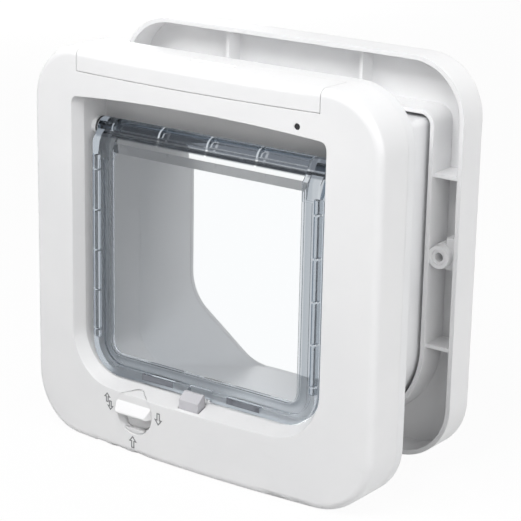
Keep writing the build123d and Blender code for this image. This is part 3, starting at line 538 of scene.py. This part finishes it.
def polish_flap(finish, from_foot):
    """Fine scratches, a faint haze, a frosted foot and a slight ripple."""
    tree = finish.tree
    scratches = finish.group(handling_marks, Amount=SCRATCH_AMOUNT, Scale=SCRATCH_SCALE).outputs["Mask"]
    haze = ranged(tree, noise_node(tree, finish.place, HAZE_SCALE, detail=3.0), 0.4, 0.8)
    foot = ranged(tree, from_foot, FLAP_RIM + FOOT_BLUR, FLAP_RIM)
    rough = math_node(tree, "MULTIPLY", scratches, SCRATCH_DULL)
    for mask, amount in ((haze, HAZE_DULL), (foot, FOOT_DULL)):
        rough = math_node(tree, "ADD", rough, math_node(tree, "MULTIPLY", mask, amount))
    finish.feed(Roughness=rough)
    ripple = noise_node(tree, finish.place, RIPPLE_SCALE, detail=1.0)
    finish.bump(ripple, RIPPLE_DEPTH, RIPPLE_STRENGTH)


def open_flap_to_light(finish):
    """Put a transparent shader in for rays that the glass would hold back."""
    tree = finish.tree
    path = tree.nodes.new("ShaderNodeLightPath")
    surface = finish.shader.outputs["BSDF"]
    for kind, colour in (
        ("Is Reflection Ray", TRAPPED_THROUGH),
        ("Is Diffuse Ray", BOUNCE_THROUGH),
        ("Is Shadow Ray", LAMP_THROUGH),
    ):
        see_through = tree.nodes.new("ShaderNodeBsdfTransparent")
        see_through.inputs["Color"].default_value = colour
        chosen = tree.nodes.new("ShaderNodeMixShader")
        link_all(
            tree,
            [
                (path.outputs[kind], chosen.inputs["Fac"]),
                (surface, chosen.inputs[1]),
                (see_through.outputs["BSDF"], chosen.inputs[2]),
            ],
        )
        surface = chosen.outputs["Shader"]
    tree.links.new(surface, finish.output.inputs["Surface"])


def build_clear_flap():
    """Clear plastic with painted shade where it is thick."""
    finish = Finish("clear_flap", Transmission_Weight=1.0, IOR=1.46, Specular_Tint=(0.35, 0.36, 0.38, 1))
    polish_flap(finish, tint_and_shade_flap(finish))
    open_flap_to_light(finish)
    return finish.material


dress(["flap"], build_clear_flap())

# %% [markdown]
# ### Coloured and inner plastics
#
# The catch is light grey, the light's window and the button are black, and the pieces inside
# the housing are plain natural-white mouldings with a coarser texture. One dark and one light
# finish could serve them all, but gloss sets them apart as much as colour does: the window is
# polished, and the button isn't.

# %% Other plastics
catch_grey = moulded_finish(
    "catch_grey", colour=(0.60, 0.595, 0.625), shade=(0.56, 0.555, 0.585), roughness=0.36,
    grain=1500.0, depth=0.04 * MM, marks=0.25, dust=0.05, edge=0.4 * MM,
)
window_black = moulded_finish(
    "window_black", colour=(0.008, 0.008, 0.010), shade=(0.012, 0.012, 0.014), roughness=0.10,
    grain=900.0, depth=0.01 * MM, marks=0.02, dust=0.01, edge=0.2 * MM,
)
button_black = moulded_finish(
    "button_black", colour=(0.020, 0.020, 0.023), shade=(0.027, 0.027, 0.030), roughness=0.38,
    grain=1600.0, depth=0.04 * MM, marks=0.05, dust=0.04, edge=0.3 * MM,
)
inner_white = moulded_finish(
    "inner_white", colour=(0.72, 0.72, 0.70), shade=(0.68, 0.68, 0.66), roughness=0.52,
    grain=1200.0, depth=0.08 * MM, marks=0.05, dust=0.06, edge=0.3 * MM,
)
dress(["latch_catch"], catch_grey)
dress(["indicator_lens"], window_black)
dress(["learn_button", "learn_switch"], button_black)
dress(["battery_tray", "lock_bracket", "lock_crank", "lock_bolt"], inner_white)

# %% [markdown]
# ### Metals
#
# The pins and screws are bright steel with fine drawing lines, the contacts are nickel-plated,
# the magnets are dark with a thin plating, and the solenoid has a zinc-plated yoke. Their
# shared group gives the lines as noise that is stretched along one direction. Anisotropy
# could do that for the gloss alone, but lines with a height also show up close.

# %% Group: drawn metal
LINE_SCALE, LINE_DULL = 900.0, 0.15
BLOTCH_SCALE = 180.0


def build_drawn_metal():
    """Colour, roughness and height of metal with fine lines along one direction."""
    group, given, result = new_group(
        "drawn_metal",
        [
            ("Place", "Vector", None),
            ("Colour", "Color", (0.6, 0.6, 0.6, 1)),
            ("Tarnish", "Color", (0.4, 0.4, 0.4, 1)),
            ("Roughness", "Float", 0.25),
            ("Stretch", "Vector", (1.0, 1.0, 1.0)),
        ],
        [("Colour", "Color"), ("Roughness", "Float"), ("Height", "Float")],
    )
    place = given.outputs["Place"]
    along = group.nodes.new("ShaderNodeVectorMath")
    along.operation = "MULTIPLY"
    link_all(group, [(place, along.inputs[0]), (given.outputs["Stretch"], along.inputs[1])])
    lines = noise_node(group, along.outputs[0], LINE_SCALE, detail=4.0, roughness=0.6)
    blotch = ranged(group, noise_node(group, place, BLOTCH_SCALE, detail=4.0), 0.45, 0.75)
    tint = blended(group, blotch, given.outputs["Colour"], given.outputs["Tarnish"])
    dull = math_node(group, "MULTIPLY", lines, LINE_DULL)
    rough = math_node(group, "ADD", given.outputs["Roughness"], dull)
    link_all(
        group,
        [
            (tint, result.inputs["Colour"]),
            (rough, result.inputs["Roughness"]),
            (lines, result.inputs["Height"]),
        ],
    )
    return group


drawn_metal = build_drawn_metal()
print("Group", drawn_metal.name)

# %% [markdown]
# ### Four metals
#
# Each metal is the same drawn finish with its own colour and tarnish. Where a direction of the
# noise is scaled down, the lines run that way: along X on the steel and along Y on the nickel.

# %% Metal finishes
LINE_DEPTH, LINE_STRENGTH = 0.02 * MM, 0.4
METAL_EDGE = 0.2 * MM


def metal_finish(name, colour, tarnish, roughness, stretch=(1.0, 1.0, 1.0)):
    """Metal with drawing lines and a little tarnish."""
    finish = Finish(name, Metallic=1.0)
    drawn = finish.group(
        drawn_metal, Colour=(*colour, 1), Tarnish=(*tarnish, 1), Roughness=roughness, Stretch=stretch
    )
    finish.feed(Base_Color=drawn.outputs["Colour"], Roughness=drawn.outputs["Roughness"])
    finish.bump(drawn.outputs["Height"], LINE_DEPTH, LINE_STRENGTH, edge=METAL_EDGE)
    return finish.material


steel = metal_finish(
    "bright_steel", colour=(0.62, 0.63, 0.65), tarnish=(0.50, 0.50, 0.51), roughness=0.18,
    stretch=(0.15, 1.0, 1.0),
)
nickel = metal_finish(
    "nickel_plate", colour=(0.70, 0.68, 0.63), tarnish=(0.58, 0.55, 0.50), roughness=0.20,
    stretch=(1.0, 0.2, 1.0),
)
magnet_dark = metal_finish(
    "magnet_dark", colour=(0.20, 0.21, 0.235), tarnish=(0.14, 0.145, 0.165), roughness=0.40
)
zinc = metal_finish("zinc_plate", colour=(0.55, 0.56, 0.57), tarnish=(0.42, 0.43, 0.44), roughness=0.32)
dress(["hinge_pins", "crank_pin", "housing_screws"], steel)
dress(["contact_leaves", "contact_plates"], nickel)
dress(["flap_magnets", "sill_magnets"], magnet_dark)
dress(["latch_solenoid"], zinc)

# %% [markdown]
# ### Cells
#
# Each cell has a printed wrap in two plain colours and bare metal ends. Two cells lie end to
# end, so the place along one cell is the remainder of a division by their pitch. Masks along
# it pick the dark wrap, the metallic band and the ends. An image of a label could do that
# too, but masks stay sharp and carry no print.

# %% Cell wrap
BAND_FROM = 0.70
CAP_FROM = 0.955
FOOT_TO = 0.015
PRINT_EDGE = 0.005
PRINT_SPECK_SCALE, PRINT_DEPTH = 300.0, 0.03 * MM
WRAP_DARK = (0.025, 0.030, 0.045, 1)
WRAP_BAND = (0.55, 0.36, 0.14, 1)
CELL_METAL = (0.60, 0.60, 0.60, 1)


def build_cell_wrap():
    """A dark wrap with a metallic band near each cell's positive end and bare metal ends."""
    finish = Finish("cell_wrap")
    tree = finish.tree
    low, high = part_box("aa_cells")
    cell_pitch = (high.x - low.x) / 2
    from_end = math_node(tree, "SUBTRACT", split_place(tree, finish.place).outputs["X"], low.x)
    along = math_node(tree, "DIVIDE", math_node(tree, "MODULO", from_end, cell_pitch), cell_pitch)
    band = ranged(tree, along, BAND_FROM, BAND_FROM + PRINT_EDGE)
    cap = ranged(tree, along, CAP_FROM, CAP_FROM + PRINT_EDGE)
    foot = ranged(tree, along, FOOT_TO + PRINT_EDGE, FOOT_TO)
    metal = math_node(tree, "MAXIMUM", cap, foot)
    wrap = blended(tree, band, WRAP_DARK, WRAP_BAND)
    speck = noise_node(tree, finish.place, PRINT_SPECK_SCALE, detail=4.0)
    finish.feed(
        Base_Color=blended(tree, metal, wrap, CELL_METAL),
        Metallic=math_node(tree, "MAXIMUM", metal, band),
        Roughness=math_node(tree, "ADD", math_node(tree, "MULTIPLY", speck, 0.12), 0.16),
    )
    finish.bump(speck, PRINT_DEPTH, strength=0.3)
    return finish.material


dress(["aa_cells"], build_cell_wrap())

# %% [markdown]
# ### Board and light
#
# The board has a green solder mask over copper tracks, with tinned holes between them. A brick
# texture gives the tracks as its mortar, and the middles of Voronoi cells give the holes. A
# picture of a board would need a file, and this script reads only the frame. The light is a
# small package of pale yellow resin.

# %% Board and light
TRACK_RUN = 6.2 * MM
TRACK_PITCH = 2.1 * MM
TRACK_WIDTH = 0.28 * MM
TRACK_HEIGHT = 0.05 * MM
HOLE_SCALE = 190.0
BOARD_GRAIN_SCALE = 1400.0
MASK_GREEN = (0.012, 0.085, 0.035, 1)
TRACK_GREEN = (0.035, 0.19, 0.075, 1)
TINNED = (0.62, 0.60, 0.55, 1)


def track_mask(finish):
    """1 on the tracks of the board, which lie in its X and Z."""
    tree = finish.tree
    place = split_place(tree, finish.place)
    flat = tree.nodes.new("ShaderNodeCombineXYZ")
    tracks = tree.nodes.new("ShaderNodeTexBrick")
    for title, number in (
        ("Scale", 1.0),
        ("Brick Width", TRACK_RUN),
        ("Row Height", TRACK_PITCH),
        ("Mortar Size", TRACK_WIDTH),
        ("Mortar Smooth", 0.2),
    ):
        tracks.inputs[title].default_value = number
    link_all(
        tree,
        [
            (place.outputs["X"], flat.inputs["X"]),
            (place.outputs["Z"], flat.inputs["Y"]),
            (flat.outputs[0], tracks.inputs["Vector"]),
        ],
    )
    return tracks.outputs["Fac"]


def build_board_green():
    """Solder mask over a mesh of tracks and holes."""
    finish = Finish("board_green")
    tree = finish.tree
    line = track_mask(finish)
    holes = tree.nodes.new("ShaderNodeTexVoronoi")
    holes.inputs["Scale"].default_value = HOLE_SCALE
    tree.links.new(finish.place, holes.inputs["Vector"])
    pad = ranged(tree, holes.outputs["Distance"], 0.16, 0.12)
    grain = noise_node(tree, finish.place, BOARD_GRAIN_SCALE, detail=3.0)
    finish.feed(
        Base_Color=blended(tree, pad, blended(tree, line, MASK_GREEN, TRACK_GREEN), TINNED),
        Metallic=pad,
        Roughness=math_node(tree, "ADD", math_node(tree, "MULTIPLY", grain, 0.15), 0.22),
    )
    finish.bump(math_node(tree, "ADD", line, pad), TRACK_HEIGHT, strength=0.6)
    return finish.material


light_clear = moulded_finish(
    "light_clear", colour=(0.78, 0.74, 0.58), shade=(0.70, 0.66, 0.50), roughness=0.16,
    grain=800.0, depth=0.02 * MM, marks=0.02, dust=0.01, edge=0.2 * MM,
)
dress(["circuit_board"], build_board_green())
dress(["status_led"], light_clear)

# %% [markdown]
# ### Reader coil
#
# The reader coil is enamelled copper wire, whose turns run side by side round the passage. A
# sine through the depth gives the crest of each turn for the bump, and paints shade into the
# colour of the grooves between turns. The coat of the shader stands for the enamel. Modelled
# turns would take thousands of faces in a place that is hardly ever seen.

# %% Reader coil
WIRE = 0.4 * MM
TURN_HEIGHT = 0.12 * MM
WANDER_SCALE = 90.0
COPPER_GROOVE_SHADE = (0.20, 0.07, 0.025, 1)
COPPER_LIT = (0.74, 0.36, 0.16, 1)
COPPER_DULL = (0.45, 0.18, 0.08, 1)


def build_coil_copper():
    """Enamelled wire whose turns lie side by side through the depth."""
    finish = Finish("coil_copper", Metallic=1.0, Coat_Weight=0.6, Coat_Roughness=0.08)
    tree = finish.tree
    depth = split_place(tree, finish.place).outputs["Y"]
    crest = math_node(tree, "SINE", math_node(tree, "MULTIPLY", depth, 2 * math.pi / WIRE), 0.0)
    wander = noise_node(tree, finish.place, WANDER_SCALE, detail=3.0)
    # Painted shade in the grooves between turns, from the same sine as the bump.
    tint = blended(tree, ranged(tree, crest, -1.0, 0.6), COPPER_GROOVE_SHADE, COPPER_LIT)
    tint = blended(tree, math_node(tree, "MULTIPLY", wander, 0.3), tint, COPPER_DULL)
    gloss = math_node(tree, "ADD", math_node(tree, "MULTIPLY", wander, 0.12), 0.22)
    finish.feed(Base_Color=tint, Roughness=gloss)
    finish.bump(crest, TURN_HEIGHT, strength=0.8)
    return finish.material


dress(["antenna_coil"], build_coil_copper())

# %% [markdown]
# ## Signs by the lock knob
#
# Small arrows are printed round the knob: a pair for both ways, one for in and one for out.
# Each is a block arrow drawn as a thin outline. Text or a texture would do as well, but a mesh
# stays sharp in every view. A polygon is inset to leave the outline, laid on the crowned face,
# and given the thickness of a layer of ink.

# %% Printed arrows
INK_LINE = 0.62 * MM
INK_PROUD = 0.10 * MM
INK_DEEP = 0.10 * MM
ARROW_HEAD_SHARE = 0.48
ARROW_STEM_SHARE = 0.2
PAIR_ARROW = (4.6, 5.2)
LONE_ARROW = (5.4, 6.6)
sign_ink = moulded_finish(
    "sign_ink", colour=(0.23, 0.233, 0.24), shade=(0.27, 0.273, 0.28), roughness=0.5,
    grain=900.0, depth=0.02 * MM, marks=0.2, dust=0.0, edge=0.1 * MM,
)


def add_arrow(bm, x, level, size, down=False):
    """The outline of a block arrow, as a flat ribbon on the face. Place and size are in mm."""
    width, height = size
    way = -1 if down else 1
    tip = height / 2
    neck = tip - height * ARROW_HEAD_SHARE
    stem = width * ARROW_STEM_SHARE
    half = ((0, tip), (width / 2, neck), (stem, neck), (stem, -tip))
    outline = [(a, b * way) for a, b in half] + [(-a, b * way) for a, b in reversed(half[1:])]
    corners = [bm.verts.new(((x + a) * MM, 0, (level + b) * MM)) for a, b in outline]
    face = bm.faces.new(corners)
    face.normal_update()
    bmesh.ops.inset_region(bm, faces=[face], thickness=INK_LINE, use_boundary=True, use_even_offset=True)
    bmesh.ops.delete(bm, geom=[face], context="FACES")


def build_lock_signs():
    """All the arrows, laid on the crown and given a thickness."""
    bm = bmesh.new()
    add_arrow(bm, -52.4, 27.0, PAIR_ARROW)
    add_arrow(bm, -50.2, 23.1, PAIR_ARROW, down=True)
    add_arrow(bm, -17.5, 23.9, LONE_ARROW, down=True)
    add_arrow(bm, -34.6, 7.3, LONE_ARROW)
    for vert in bm.verts:
        vert.co.y = face_y + crown_fall(vert.co.x) - INK_PROUD
    bmesh.ops.recalc_face_normals(bm, faces=bm.faces)
    made = bmesh.ops.extrude_face_region(bm, geom=bm.faces[:])
    bmesh.ops.translate(bm, verts=new_verts(made), vec=(0, INK_PROUD + INK_DEEP, 0))
    keep_piece(bm, "lock_signs", "unit", sign_ink)


build_lock_signs()

# %% [markdown]
# ## Knob
#
# Below its finger lip the moulded knob has a pocket, which a low rim closes at the bottom. The
# rim is a sickle: a round plate whose upper part is cut off with bisect_plane, closed again
# and bevelled, so that its edge is as soft as the rest of the knob.

# %% Rim below the finger pocket
KNOB_X, KNOB_LEVEL = -34.0, 23.4
RIM_DEPTH = 2.4
RIM_BACK_RADIUS, RIM_FRONT_RADIUS = 11.4 * MM, 10.8 * MM
RIM_THICKNESS = 2.4 * MM
RIM_CUT = 9.2
RIM_EDGE = 0.25 * MM
SHARP_ANGLE = 0.6


def build_knob_rim():
    """The low sickle that closes the pocket: a round plate with its upper part cut off."""
    bm = bmesh.new()
    middle = Matrix.Translation(at(KNOB_X, RIM_DEPTH, KNOB_LEVEL))
    bmesh.ops.create_cone(
        bm,
        cap_ends=True,
        segments=96,
        radius1=RIM_BACK_RADIUS,
        radius2=RIM_FRONT_RADIUS,
        depth=RIM_THICKNESS,
        matrix=middle @ Matrix.Rotation(-math.pi / 2, 4, "X"),
    )
    bmesh.ops.bisect_plane(
        bm,
        geom=bm.verts[:] + bm.edges[:] + bm.faces[:],
        plane_co=at(KNOB_X, 0, KNOB_LEVEL - RIM_CUT),
        plane_no=(0, 0, 1),
        clear_outer=True,
    )
    bmesh.ops.holes_fill(bm, edges=[edge for edge in bm.edges if edge.is_boundary])
    sharp = [
        edge
        for edge in bm.edges
        if len(edge.link_faces) == 2 and edge.calc_face_angle() > SHARP_ANGLE
    ]
    bmesh.ops.bevel(
        bm,
        geom=sharp,
        offset=RIM_EDGE,
        segments=2,
        profile=0.5,
        affect="EDGES",
        material=-1,
        clamp_overlap=True,
    )
    keep_piece(bm, "knob_rim", "knob", white_knob)


build_knob_rim()

# %% [markdown]
# ## Dark rings at the hinge
#
# A thin dark ring sits round each hinge boss, next to the end of the flap's tube: a dark piece
# that stands for the shade where the boss meets the tube. A small circle is spun once round
# the hinge's axis. A torus would do as well, but bmesh has no operator for one.

# %% Hinge shade rings
HINGE_DEPTH, HINGE_LEVEL = 20.0, 162.7
SHADE_RING_X, SHADE_RING_REACH = 70.7, 4.75
SHADE_RING_SECTION = 0.5 * MM
# Painted shade: a dark ring where the boss meets the flap's tube.
hinge_shade_dark = moulded_finish(
    "hinge_shade_dark", colour=(0.030, 0.031, 0.034), shade=(0.045, 0.046, 0.050), roughness=0.48,
    grain=1400.0, depth=0.05 * MM, marks=0.05, dust=0.03, edge=0.2 * MM,
)


def build_hinge_shade_rings():
    """One ring on each side."""
    bm = bmesh.new()
    for side in (-1, 1):
        top = Matrix.Translation(at(side * SHADE_RING_X, HINGE_DEPTH, HINGE_LEVEL + SHADE_RING_REACH))
        section = bmesh.ops.create_circle(
            bm,
            segments=14,
            radius=SHADE_RING_SECTION,
            matrix=top @ Matrix.Rotation(math.pi / 2, 4, "X"),
        )["verts"]
        bmesh.ops.spin(
            bm,
            geom=section + list({edge for vert in section for edge in vert.link_edges}),
            cent=at(side * SHADE_RING_X, HINGE_DEPTH, HINGE_LEVEL),
            axis=(1, 0, 0),
            angle=2 * math.pi,
            steps=56,
            use_merge=True,
        )
    keep_piece(bm, "hinge_shade_rings", "unit", hinge_shade_dark, smooth_angle=60.0)


build_hinge_shade_rings()

# %% [markdown]
# ## Screws of the housing
#
# Four pan-head screws close the two shells from behind. Their solids are plain pegs, so these
# screws stand for them. A half profile of head, thread and point is spun round the axis, a
# cross is bridged into the flat of the head, and its face is extruded inwards to make the
# recess. Turned rings stand for the thread, because only the head is ever in sight.

# %% One screw
SCREW_HEAD_RADIUS = 2.8 * MM
SCREW_HEAD_DEPTH = 2.0 * MM
SCREW_DOME = 1.1 * MM
SCREW_FLAT_RADIUS = 1.75 * MM
SCREW_CORE_RADIUS = 1.22 * MM
THREAD_PITCH = 0.9 * MM
THREAD_ROOT_SHARE = 0.8
RECESS_REACH, RECESS_WIDTH, RECESS_DEPTH = 1.35 * MM, 0.32 * MM, 1.1 * MM
RECESS_TAPER = 0.6


def screw_profile(length):
    """Half a screw, from the edge of the head's flat to the point, as (radius, height)."""
    profile = [(SCREW_FLAT_RADIUS, 0.0)]
    for turn in (0.35, 0.7, 1.0):
        angle = turn * math.pi / 2
        swell = (SCREW_HEAD_RADIUS - SCREW_FLAT_RADIUS) * math.sin(angle)
        profile.append((SCREW_FLAT_RADIUS + swell, -SCREW_DOME * (1 - math.cos(angle))))
    profile += [(SCREW_HEAD_RADIUS, -SCREW_HEAD_DEPTH), (SCREW_CORE_RADIUS, -SCREW_HEAD_DEPTH)]
    root = SCREW_CORE_RADIUS * THREAD_ROOT_SHARE
    height = -SCREW_HEAD_DEPTH - THREAD_PITCH
    while height > THREAD_PITCH - length:
        profile += [(root, height + THREAD_PITCH / 2), (SCREW_CORE_RADIUS, height)]
        height -= THREAD_PITCH
    return profile + [(0.0, -length)]


def add_cross(bm):
    """Bridge a cross into the head's flat and sink it."""
    rim = [edge for edge in bm.edges if edge.is_boundary and edge.verts[0].co.z > -0.001 * MM]
    quarter = [(RECESS_REACH, -RECESS_WIDTH), (RECESS_REACH, RECESS_WIDTH), (RECESS_WIDTH, RECESS_WIDTH)]
    corners = []
    for turn in range(4):
        for a, b in quarter:
            across = Matrix.Rotation(turn * math.pi / 2, 2) @ Vector((a, b))
            corners.append(bm.verts.new((across.x, across.y, 0.0)))
    cross = bm.faces.new(corners)
    bmesh.ops.bridge_loops(bm, edges=rim + list(cross.edges))
    floor = new_verts(bmesh.ops.extrude_face_region(bm, geom=[cross]))
    bmesh.ops.translate(bm, verts=floor, vec=(0, 0, -RECESS_DEPTH))
    bmesh.ops.scale(bm, verts=floor, vec=(RECESS_TAPER, RECESS_TAPER, 1.0))


def screw_mesh(length):
    """A screw that stands on its point below the origin, with its head's flat at the origin."""
    bm = bmesh.new()
    line = [bm.verts.new((radius, 0, height)) for radius, height in screw_profile(length)]
    edges = [bm.edges.new(pair) for pair in zip(line, line[1:])]
    bmesh.ops.spin(
        bm,
        geom=line + edges,
        cent=(0, 0, 0),
        axis=(0, 0, 1),
        angle=2 * math.pi,
        steps=36,
        use_merge=True,
    )
    bmesh.ops.remove_doubles(bm, verts=bm.verts, dist=MERGE_DISTANCE)
    add_cross(bm)
    bmesh.ops.recalc_face_normals(bm, faces=bm.faces)
    shape = bpy.data.meshes.new("one_screw")
    bm.to_mesh(shape)
    bm.free()
    return shape


print("Screw head", round(2 * SCREW_HEAD_RADIUS / MM, 1), "mm across")

# %% [markdown]
# ### Four screws in place
#
# The box of the solids gives the places: a screw sits at each corner, a head's radius in. An
# array would turn all alike, but a driven screw stops at any angle, so each copy is turned by
# itself and then laid with its head to the back.

# %% Four screws where the solids are
FIRST_TURN, NEXT_TURN = 0.5, 0.7


def build_screws():
    """One screw at each corner of the solids' box, each turned by a different angle."""
    low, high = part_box("housing_screws")
    shape = screw_mesh(high.y - low.y)
    bm = bmesh.new()
    inset = SCREW_HEAD_RADIUS
    corners = [(x, z) for z in (low.z + inset, high.z - inset) for x in (low.x + inset, high.x - inset)]
    for count, (x, z) in enumerate(corners):
        first = len(bm.verts)
        bm.from_mesh(shape)
        bm.verts.ensure_lookup_table()
        turn = Matrix.Rotation(FIRST_TURN + NEXT_TURN * count, 4, "Z")
        place = Matrix.Translation((x, high.y, z)) @ Matrix.Rotation(-math.pi / 2, 4, "X") @ turn
        bmesh.ops.transform(bm, matrix=place, verts=bm.verts[first:])
    bpy.data.meshes.remove(shape)
    piece = keep_piece(bm, "cross_screws", "unit", steel, smooth_angle=35.0)
    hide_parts("housing_screws")


build_screws()

# %% [markdown]
# ## Studio
#
# The object stands on a plain white floor. The floor and the world are white to the camera and
# to reflections, while the light that they give is softer, so that the white shells keep their
# shading. Light Path tells the two apart, which a brighter lamp could not do.

# %% Floor
FLOOR_RADIUS = 6.0
FLOOR_WHITE = 0.95
FLOOR_SEEN = (0.90, 0.90, 0.90, 1)
FLOOR_BOUNCE = (0.50, 0.50, 0.50, 1)


def seen_directly(tree, camera_share):
    """1 for mirrors and glass, a share for the camera, and 0 for light that a dull surface scatters."""
    path = tree.nodes.new("ShaderNodeLightPath")
    camera = math_node(tree, "MULTIPLY", path.outputs["Is Camera Ray"], camera_share)
    seen = math_node(tree, "MAXIMUM", path.outputs["Is Glossy Ray"], path.outputs["Is Transmission Ray"])
    fresh = math_node(tree, "LESS_THAN", path.outputs["Diffuse Depth"], 0.5)
    return math_node(tree, "MULTIPLY", math_node(tree, "MAXIMUM", seen, camera), fresh)


def build_studio_white():
    """Dull white that glows a little to the eye and keeps a faint shadow."""
    material = bpy.data.materials.new("studio_white")
    material.use_nodes = True
    tree = material.node_tree
    shader = tree.nodes["Principled BSDF"]
    path = tree.nodes.new("ShaderNodeLightPath")
    shown = blended(tree, path.outputs["Is Camera Ray"], FLOOR_BOUNCE, FLOOR_SEEN)
    tree.links.new(shown, shader.inputs["Base Color"])
    shader.inputs["Roughness"].default_value = 1.0
    shader.inputs["Specular IOR Level"].default_value = 0.0
    glow = tree.nodes.new("ShaderNodeEmission")
    glow.inputs["Strength"].default_value = 1.0
    mixed = tree.nodes.new("ShaderNodeMixShader")
    link_all(
        tree,
        [
            (seen_directly(tree, FLOOR_WHITE), mixed.inputs["Fac"]),
            (shader.outputs["BSDF"], mixed.inputs[1]),
            (glow.outputs["Emission"], mixed.inputs[2]),
            (mixed.outputs["Shader"], tree.nodes["Material Output"].inputs["Surface"]),
        ],
    )
    return material


def build_floor():
    """A large round floor under the object."""
    bm = bmesh.new()
    bmesh.ops.create_circle(bm, cap_ends=True, segments=96, radius=FLOOR_RADIUS)
    mesh = bpy.data.meshes.new("studio_floor")
    bm.to_mesh(mesh)
    bm.free()
    floor = bpy.data.objects.new("studio_floor", mesh)
    bpy.context.scene.collection.objects.link(floor)
    mesh.materials.append(build_studio_white())
    return floor


studio_floor = build_floor()
print("Floor", [round(side, 1) for side in studio_floor.dimensions])

# %% [markdown]
# ### World
#
# The world is the white beyond the floor. An image of a studio could light the object too, but
# a plain world keeps the background clean: full white where it is seen, and a small share of
# that as light.

# %% World
WORLD_LIGHT = 0.12


def build_world():
    """White to the eye and to reflections, softer as a light."""
    world = bpy.data.worlds.new("studio_world")
    world.use_nodes = True
    tree = world.node_tree
    background = tree.nodes["Background"]
    background.inputs["Color"].default_value = (1, 1, 1, 1)
    strength = math_node(tree, "MULTIPLY_ADD", seen_directly(tree, 1.0), 1.0 - WORLD_LIGHT)
    strength.node.inputs[2].default_value = WORLD_LIGHT
    tree.links.new(strength, background.inputs["Strength"])
    bpy.context.scene.world = world


build_world()
print("World gives", WORLD_LIGHT, "of its white as light")

# %% [markdown]
# ## Lamps
#
# Six soft square lamps light the object at a plain level: one above the front, one on each
# side of it, one to the right, and two behind. None is strong, so that the white surfaces
# don't clip, and the difference between them shapes the form. The lamps are only sampled
# directly: rays that find a lamp through the flap by chance would light the tunnel twice.

# %% Lamps
LAMP_AIM = Vector((0, 0, 0.1))


def add_lamp(name, place, size, power):
    """A square area lamp that looks at the object's middle."""
    lamp = bpy.data.lights.new(name, "AREA")
    lamp.shape = "SQUARE"
    lamp.size = size
    lamp.energy = power
    lamp.cycles.use_multiple_importance_sampling = False
    holder = bpy.data.objects.new(name, lamp)
    holder.location = place
    aim = LAMP_AIM - Vector(place)
    holder.rotation_euler = aim.to_track_quat("-Z", "Y").to_euler()
    bpy.context.scene.collection.objects.link(holder)
    print("Lamp", name, power, "W")


add_lamp("front_softbox", (0.0, -0.5, 0.8), size=0.5, power=5.7)
add_lamp("right_softbox", (1.5, 0.1, 0.4), size=0.8, power=7.2)
add_lamp("left_softbox", (-0.9, -1.0, 0.8), size=0.8, power=4.0)
add_lamp("fill_softbox", (1.4, -0.9, 0.6), size=0.8, power=6.2)
add_lamp("back_softbox", (0.6, 0.55, 1.3), size=1.0, power=3.4)
add_lamp("rear_softbox", (-1.2, 1.2, 0.1), size=0.5, power=14.0)

# %% [markdown]
# ## Camera
#
# The camera stands in front, to the right and a little above. It could be set by eye, but
# numbers from a fit to the outlines of both frames let the picture be laid over the photograph.

# %% Camera
AZIMUTH = math.radians(36.299)
ELEVATION = math.radians(16.847)
ROLL = math.radians(1.128)
DISTANCE = 952.96 * MM
TARGET = at(7.404, 50.0, 100.314)
LENS, SENSOR = 131.45, 36.0


def build_camera():
    """The camera at the photograph's angle."""
    forward = Vector(
        (
            -math.sin(AZIMUTH) * math.cos(ELEVATION),
            math.cos(AZIMUTH) * math.cos(ELEVATION),
            -math.sin(ELEVATION),
        )
    )
    level_right = Vector((math.cos(AZIMUTH), math.sin(AZIMUTH), 0))
    level_up = level_right.cross(forward)
    right = level_right * math.cos(ROLL) + level_up * math.sin(ROLL)
    up = level_up * math.cos(ROLL) - level_right * math.sin(ROLL)
    turn = Matrix((right, up, -forward)).transposed().to_4x4()
    data = bpy.data.cameras.new("photo_camera")
    data.sensor_width = SENSOR
    data.lens = LENS
    data.clip_start = 10 * MM
    camera = bpy.data.objects.new("photo_camera", data)
    camera.matrix_world = Matrix.Translation(TARGET - forward * DISTANCE) @ turn
    bpy.context.scene.collection.objects.link(camera)
    bpy.context.scene.camera = camera
    return camera


photo_camera = build_camera()
bpy.context.scene.view_settings.view_transform = "Standard"
print("Camera at", [round(part / MM) for part in photo_camera.matrix_world.translation], "mm")
